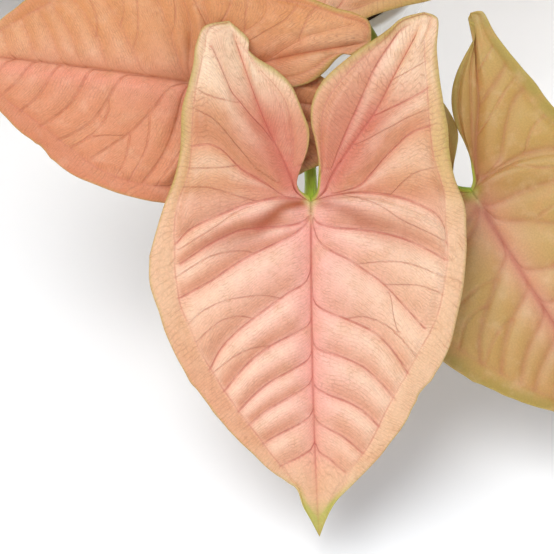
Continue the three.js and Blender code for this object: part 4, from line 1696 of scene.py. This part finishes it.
# ---------------------------------------------------------------- pot and soil
@dataclass
class Pot:
    """A plain round tapered pot with a band round its mouth and four drain holes."""

    maker: Maker
    height: float = 62.0
    base_radius: float = 34.0
    rim_radius: float = 46.0
    rim_height: float = 7.0
    rim_step: float = 1.0
    wall: float = 2.6
    floor: float = 3.0
    edge: float = 1.0
    step_round: float = 0.9
    band_round: float = 0.7
    floor_round: float = 2.0
    segments: int = 160
    drain_radius: float = 3.5
    drain_circle: float = 20.0
    drain_holes: int = 4

    def inner(self, z: float) -> float:
        """The inner wall's radius at a height."""
        outer = self.base_radius + (self.rim_radius - self.rim_step - self.base_radius) * z / self.height
        return outer - self.wall

    def profile(self) -> list[Point]:
        """The wall's outline, from the flat of the underside round the rim to the flat of the floor.

        Returns:
            Radii with their heights.
        """
        edge, step, band, lowest = self.edge, self.step_round, self.band_round, self.floor + self.floor_round
        below, shoulder = self.height - self.rim_height, self.height - edge
        outline = [(self.base_radius - edge - 4, 0)]
        outline += self.corner(self.base_radius - edge, edge, edge, -90, 0)
        outline += [(self.inner(z) + self.wall, z) for z in np.linspace(6, below - 2.2, 9)]
        outline += self.corner(self.inner(below) + self.wall + step, below - 1.5, step, 180, 90)
        outline += self.corner(self.rim_radius - band, below + 0.1, band, -60, 0)
        outline += [(self.rim_radius, z) for z in np.linspace(below + 2, shoulder - 1, 3)]
        outline += self.corner(self.rim_radius - edge, shoulder, edge, 0, 90)
        outline += self.corner(self.inner(self.height) + edge, shoulder, edge, 90, 180)
        outline += [(self.inner(z), z) for z in np.linspace(self.height - 4, self.floor + 5, 8)]
        outline += self.corner(self.inner(lowest) - self.floor_round, lowest, self.floor_round, 0, -90)
        return outline

    def corner(self, x: float, z: float, radius: float, start: float, end: float) -> list[Point]:
        """A rounded corner of the outline, as an arc round a middle, in degrees."""
        angles = np.radians(np.linspace(start, end, 6))
        return [(x + radius * math.cos(a), z + radius * math.sin(a)) for a in angles]

    def build(self, finish: Finish) -> None:
        """Makes the pot in place of its plain solid.

        Args:
            finish: the glaze.
        """
        rings = [
            [(r * math.cos(a), r * math.sin(a), z) for a in circle(self.segments)] for r, z in self.profile()
        ]
        points = np.vstack([np.array(rings).reshape(-1, 3), [[0, 0, 0], [0, 0, self.floor]]])
        numbers = np.arange(len(points) - 2).reshape(-1, self.segments)
        faces = wrapped(numbers)
        faces += turned_over(fan(len(points) - 2, numbers[0])) + fan(len(points) - 1, numbers[-1])
        made = self.maker.piece("glazed_pot", points, faces, finish, "pot")
        self.drain(made)
        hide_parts("pot")

    def drain(self, made: Piece) -> None:
        """Cuts the drain holes through the floor.

        Args:
            made: the pot.
        """
        away = self.drain_circle * MM
        for k in range(self.drain_holes):
            angle = 2 * math.pi * (k + 0.5) / self.drain_holes
            bpy.ops.mesh.primitive_cylinder_add(
                vertices=32,
                radius=self.drain_radius * MM,
                depth=4 * self.floor * MM,
                location=(away * math.cos(angle), away * math.sin(angle), 0),
            )
            cutter = bpy.context.object
            cut = made.modifiers.new("drain", "BOOLEAN")
            cut.operation = "DIFFERENCE"
            cut.object = cutter
            with bpy.context.temp_override(object=made, active_object=made):
                bpy.ops.object.modifier_apply(modifier=cut.name)
            bpy.data.objects.remove(cutter)


@dataclass(frozen=True)
class Litter:
    """Loose lumps on the soil: their number, smallest and largest half width, flatness and finish."""

    name: str
    count: int
    size: Point
    squash: float
    finish: CrumbFinish


POTTING_MIX = CrumbFinish("potting_mix", linear(38, 26, 20), linear(92, 66, 46), 240.0)
CRUMB = CrumbFinish("crumb", linear(44, 30, 22), linear(104, 76, 52), 300.0)
BARK = CrumbFinish("bark", linear(84, 52, 32), linear(150, 106, 70), 260.0)
GRIT = CrumbFinish("grit", linear(206, 202, 192), linear(238, 236, 230), 420.0)
LITTER = (
    Litter("soil_crumbs", 520, (0.5, 1.5), 0.8, CRUMB),
    Litter("bark_chips", 60, (1.6, 3.4), 0.35, BARK),
    Litter("white_grit", 70, (0.7, 1.5), 0.85, GRIT),
)


@dataclass
class Soil:
    """Potting mix that fills the pot, with loose crumbs, bark and white grit on top."""

    maker: Maker
    pot: Pot
    stems: tuple[Point, ...]
    level: float = 53.0
    swell: float = 1.5
    hills: Point = (0.21, 0.17)
    hills_aslant: Point = (0.31, 0.43)
    aslant_share: float = 0.6
    lumps: Points = ((0.9, 0.5), (1.7, 0.32), (3.1, 0.22), (4.7, 0.14))
    clearance: float = 0.6
    margin: float = 5.0
    foot: float = 3.3
    bevel: float = 3.0
    segments: int = 150
    rings: int = 56
    stem_room: float = 5.5
    roughness: float = 0.22
    seed: int = 11

    def height(self, x: Array, y: Array) -> Array:
        """The height of the soil's gentle hills.

        Args:
            x: places across.
            y: places along.
        Returns:
            Their heights.
        """
        hills = np.sin(self.hills[0] * x + 1.3) * np.cos(self.hills[1] * y - 0.4)
        aslant = np.sin(self.hills_aslant[0] * x + self.hills_aslant[1] * y)
        return self.level + self.swell * (hills + self.aslant_share * aslant)

    def crumble(self, x: Array, y: Array) -> Array:
        """Small lumps on top of the hills, from a few crossing waves.

        Args:
            x: places across.
            y: places along.
        Returns:
            Heights over the hills.
        """
        lumps = np.zeros_like(x)
        for k, (pitch, size) in enumerate(self.lumps):
            turn = 1.1 * k
            u, v = x * math.cos(turn) + y * math.sin(turn), y * math.cos(turn) - x * math.sin(turn)
            lumps += size * np.sin(pitch * u + 1.7 * np.sin(0.6 * pitch * v)) * np.sin(pitch * v + k)
        return lumps

    def build(self, finish: Finish) -> None:
        """Makes the soil in place of its plain solid.

        Args:
            finish: the potting mix.
        """
        top_radius = self.pot.inner(self.level) - self.clearance
        radii = np.linspace(0, top_radius, self.rings + 1)[1:]
        angle = circle(self.segments)
        x, y = np.outer(radii, np.cos(angle)), np.outer(radii, np.sin(angle))
        settle = between(radii, top_radius, top_radius - self.margin)[:, None]
        z = self.level + settle * (self.height(x, y) - self.level + self.crumble(x, y))
        rings = [np.stack([x, y, z], axis=-1).reshape(-1, 3)]
        for level, inset in ((self.foot + self.bevel, self.clearance), (self.foot, self.bevel)):
            radius = self.pot.inner(level) - inset
            ring = [radius * np.cos(angle), radius * np.sin(angle), np.full_like(angle, level)]
            rings.append(np.column_stack(ring))
        points = np.vstack(rings + [[[0, 0, float(self.height(0, 0))], [0, 0, self.foot]]])
        numbers = np.arange(len(points) - 2).reshape(-1, self.segments)
        faces = turned_over(wrapped(numbers)) + fan(len(points) - 2, numbers[0])
        faces += turned_over(fan(len(points) - 1, numbers[-1]))
        made = self.maker.piece("potting_soil", points, faces, finish, "soil")
        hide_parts("soil")

    def scatter(self, litter: Litter) -> None:
        """Makes loose lumps, half sunk in the soil, as one piece.

        Args:
            litter: what kind of lumps, and how many.
        """
        random = np.random.default_rng(self.seed + litter.count)
        ball = bmesh.new()
        bmesh.ops.create_icosphere(ball, subdivisions=1, radius=1)
        shape = np.array([vertex.co for vertex in ball.verts])
        cells = [[vertex.index for vertex in face.verts] for face in ball.faces]
        ball.free()
        points, faces = [], []
        widest = self.pot.inner(self.level) - self.clearance - litter.size[1] - 1
        while len(points) < litter.count:
            x, y = random.uniform(-widest, widest, 2)
            clear = all(math.hypot(x - a, y - b) > self.stem_room for a, b in self.stems)
            if math.hypot(x, y) > widest or not clear:
                continue
            half = random.uniform(*litter.size)
            width = half * np.array([1, random.uniform(0.55, 1), litter.squash * random.uniform(0.7, 1.2)])
            lump = shape * width * (1 + self.roughness * random.standard_normal((len(shape), 1)))
            lump = lump @ self.tumbled(random)
            lump += [x, y, float(self.height(x, y) + self.crumble(x, y)) + 0.25 * width[2]]
            faces += [[corner + len(points) * len(shape) for corner in cell] for cell in cells]
            points.append(lump)
        self.maker.piece(litter.name, np.vstack(points), faces, litter.finish.make(), "soil")

    def tumbled(self, random: np.random.Generator) -> Array:
        """A turn about the vertical with a small random tilt.

        Args:
            random: where the turn and the tilt come from.
        Returns:
            The turn's matrix.
        """
        spin, tilt = random.uniform(0, 2 * np.pi), random.uniform(-0.5, 0.5)
        (a, b), (c, d) = ((math.cos(angle), math.sin(angle)) for angle in (spin, tilt))
        return np.array([[1, 0, 0], [0, c, d], [0, -d, c]]) @ np.array([[a, b, 0], [-b, a, 0], [0, 0, 1]])


# ---------------------------------------------------------------- the plant
FRONT_SHOOT = Shoot(
    name="stalks_front",
    foot=(2, -13),
    top=(3, -12, 82),
    leaves=(
        Leaf(
            "leaf_front", (6, -109.2, 74), ((2, -26, 67), (3, -44, 72), (4.2, -66, 73.5), (5.2, -84, 71)), 56,
            size=1.0, arch=8, fall=1, ridge=1.2, wave=0.8, neck=(0, 6.5, -10),
            detail=Detail.CLOSE, tone=Tone.SALMON,
        ),
        Leaf(
            "leaf_top", (13.5, -26.1, 100.5), ((6, -14, 84),), 70,
            turn=82, size=0.825, back=1.2, arch=10, fall=1, phase=2,
        ),
        Leaf(
            "leaf_crown", (6, 16, 172), ((6, 0, 100), (8, 13, 128)), 76,
            heading=-8, lift=58, turn=8, size=0.86, phase=4, tone=Tone.SALMON,
        ),
    ),
)
LEFT_SHOOT = Shoot(
    name="stalks_left",
    foot=(-15, 4),
    top=(-17, 5, 78),
    leaves=(
        Leaf(
            "leaf_left", (-22.7, -80.8, 89), ((-16, -14, 66), (-17, -44, 69.5), (-19, -62, 74)), 56,
            turn=99, arch=12, fall=0, wave=0.9, ridge=1.1, back=1.1, left=Lobe(swing=-1.0),
            right=Lobe(swing=22, drop=3), neck=(0, 6, -9),
            detail=Detail.NEAR, tone=Tone.ORANGE, skin=Skin.SOFT,
        ),
        Leaf(
            "leaf_left_high", (-66, 14, 130), ((-25, 7, 92), (-46, 12, 116)), 66,
            heading=-80, lift=54, turn=6, phase=1,
        ),
        Leaf(
            "leaf_left_low", (-88, 22, 84), ((-28, 9, 72), (-55, 17, 86)), 58,
            heading=-98, lift=56, turn=-14, size=0.76, phase=3, tone=Tone.FADED,
        ),
        Leaf(
            "leaf_back_left", (-46, 92, 92), ((-20, 20, 78), (-32, 50, 96)), 62,
            heading=-152, lift=54, turn=10, size=0.82, phase=5,
        ),
    ),
)
RIGHT_SHOOT = Shoot(
    name="stalks_right",
    foot=(15, 6),
    top=(16, 8, 80),
    leaves=(
        Leaf(
            "leaf_right", (50.3, -98.7, 64.3),
            ((14, -16, 64), (19.5, -40, 70), (23.3, -48.7, 70), (33, -67, 67.5), (42, -83, 63)), 54,
            turn=-31.4, size=0.823, front=1.11, arch=3, fall=1, left=Lobe(swing=23, drop=2),
            right=Lobe(gape=9, notch=3.6), neck=(-4, 4, -7),
            detail=Detail.NEAR, tone=Tone.OLIVE, skin=Skin.SMOOTH,
        ),
        Leaf(
            "leaf_right_high", (52, 26, 148), ((20, 12, 98), (34, 20, 130)), 68,
            heading=66, lift=54, turn=-10, size=0.86, phase=2, tone=Tone.SALMON,
        ),
        Leaf(
            "leaf_right_low", (92, 26, 88), ((30, 10, 76), (60, 19, 92)), 60,
            heading=96, lift=56, turn=12, size=0.78, phase=4, tone=Tone.FADED,
        ),
        Leaf(
            "leaf_back", (10, 74, 136), ((16, 22, 92), (14, 48, 124)), 64,
            heading=178, lift=52, turn=-8, size=0.84, tone=Tone.ORANGE,
        ),
        Leaf(
            "leaf_back_right", (64, 96, 78), ((22, 26, 72), (42, 60, 84)), 56,
            heading=140, lift=56, turn=6, size=0.74, phase=1,
        ),
    ),
)


# ---------------------------------------------------------------- floor, light and camera
def put_in_scene(name: str, data: bpy.types.ID, at: Vector, back: Vector) -> Piece:
    """Puts a lamp or a camera into the scene.

    Args:
        name: the object's name.
        data: the lamp or the camera.
        at: its place, in metres.
        back: the way from what it faces to it.
    Returns:
        The new object.
    """
    made = bpy.data.objects.new(name, data)
    made.location = at
    made.rotation_euler = back.to_track_quat("Z", "Y").to_euler()
    bpy.context.scene.collection.objects.link(made)
    return made


@dataclass(frozen=True)
class SoftLight:
    """A broad far light, even over the whole floor: its name, power, width in degrees and direction."""

    name: str
    power: float
    width: float
    comes_from: Place

    def hang(self) -> None:
        """Adds the light to the scene."""
        lamp = bpy.data.lights.new(self.name, "SUN")
        lamp.energy = self.power
        lamp.angle = math.radians(self.width)
        away = Vector(self.comes_from).normalized()
        put_in_scene(self.name, lamp, away, away)


@dataclass(frozen=True)
class FloorLight:
    """A round soft light that falls on the floor alone, where the leaves keep the others from it."""

    power: float = 3.2
    at: Place = (90.0, 10.0, 520.0)
    aims: Place = (64.0, -6.0, 0.0)
    cone: float = 21.0
    softness: float = 0.02

    def hang(self, floor: Piece) -> None:
        """Adds the light to the scene.

        Args:
            floor: what it falls on.
        """
        lamp = bpy.data.lights.new("floor_light", "SPOT")
        lamp.energy = self.power
        lamp.spot_size = math.radians(self.cone)
        lamp.spot_blend = 1.0
        lamp.shadow_soft_size = self.softness
        made = put_in_scene("floor_light", lamp, Vector(self.at) * MM, Vector(self.at) - Vector(self.aims))
        lit = bpy.data.collections.new("floor_lit")
        lit.objects.link(floor)
        made.light_linking.receiver_collection = lit
        made.light_linking.blocker_collection = lit


@dataclass
class Studio:
    """A wide pale floor, soft lights and the camera."""

    target: Place = (-3.18, -125.79, 62.38)
    elevation: float = 55.0
    distance: float = 900.0
    frame_width: float = 149.58
    sensor: float = 36.0
    farthest: float = 200.0
    floor_half: float = 60.0
    paper: tuple[Colour, Colour] = (linear(249, 249, 249), linear(251, 251, 251))
    overhead: float = 0.41
    horizon: float = 1.06
    tint: Colour = (0.94, 1.0, 1.08, 1.0)
    lights: tuple[SoftLight, ...] = (
        SoftLight("key", 2.05, 42.0, (-0.46, -0.16, 1.3)),
        SoftLight("fill", 0.52, 60.0, (0.9, -0.9, 0.75)),
    )

    def floor(self) -> None:
        """The floor, which is not part of the plant, with its own light."""
        half = self.floor_half
        corners = [(-half, -half, 0), (half, -half, 0), (half, half, 0), (-half, half, 0)]
        mesh = bpy.data.meshes.new("floor")
        mesh.from_pydata(corners, [], [(0, 1, 2, 3)])
        sheet = Sheet("floor_paper")
        sheet.set(Base_Color=sheet.blend(sheet.noise(sheet.place(), 3.0, 2.0), *self.paper), Roughness=0.9)
        mesh.materials.append(sheet.material)
        made = bpy.data.objects.new("floor", mesh)
        bpy.context.scene.collection.objects.link(made)
        FloorLight().hang(made)

    def light(self) -> None:
        """Broad lights from either side, and a surround that is pale overhead and white at the horizon."""
        for lamp in self.lights:
            lamp.hang()
        world = bpy.data.worlds.new("surround")
        world.use_nodes = True
        nodes = Nodes(world.node_tree)
        outwards = nodes.node("TexCoord").outputs["Generated"]
        height = nodes.node("SeparateXYZ", Vector=outwards).outputs["Z"]
        glow = nodes.span(height, 0.08, 0.42, self.horizon, self.overhead)
        nodes.fill(nodes.tree.nodes["Background"], Color=self.tint, Strength=glow)
        bpy.context.scene.world = world

    def camera(self) -> None:
        """The camera, looking down on the front leaf square to its blade."""
        angle = math.radians(self.elevation)
        away = Vector((0, -math.cos(angle), math.sin(angle)))
        lens = bpy.data.cameras.new("camera")
        lens.sensor_width = self.sensor
        lens.lens = self.sensor * self.distance / self.frame_width
        lens.clip_end = self.farthest
        at = (Vector(self.target) + away * self.distance) * MM
        bpy.context.scene.camera = put_in_scene("camera", lens, at, away)
        bpy.context.scene.view_settings.view_transform = "Standard"


def main() -> None:
    """Builds the studio, the pot, the soil, the stalks and the leaves."""
    logging.basicConfig(level=logging.INFO, format="%(name)s: %(message)s")
    studio = Studio()
    studio.camera()
    studio.floor()
    studio.light()
    maker = Maker()
    pot = Pot(maker)
    pot.build(GlazeFinish().make())
    shoots = (FRONT_SHOOT, LEFT_SHOOT, RIGHT_SHOOT)
    soil = Soil(maker, pot, stems=tuple(shoot.foot for shoot in shoots))
    soil.build(POTTING_MIX.make())
    for litter in LITTER:
        soil.scatter(litter)
    stalk_skin = StalkFinish().make()
    leaf_skins = {skin: skin.value.make() for skin in Skin}
    for shoot in shoots:
        Stalks(shoot, StalkShape(), maker).build(stalk_skin)
        for leaf in shoot.leaves:
            Blade(leaf, BladeShape(), maker).build(leaf_skins[leaf.skin])


if __name__ == "__main__":
    main()
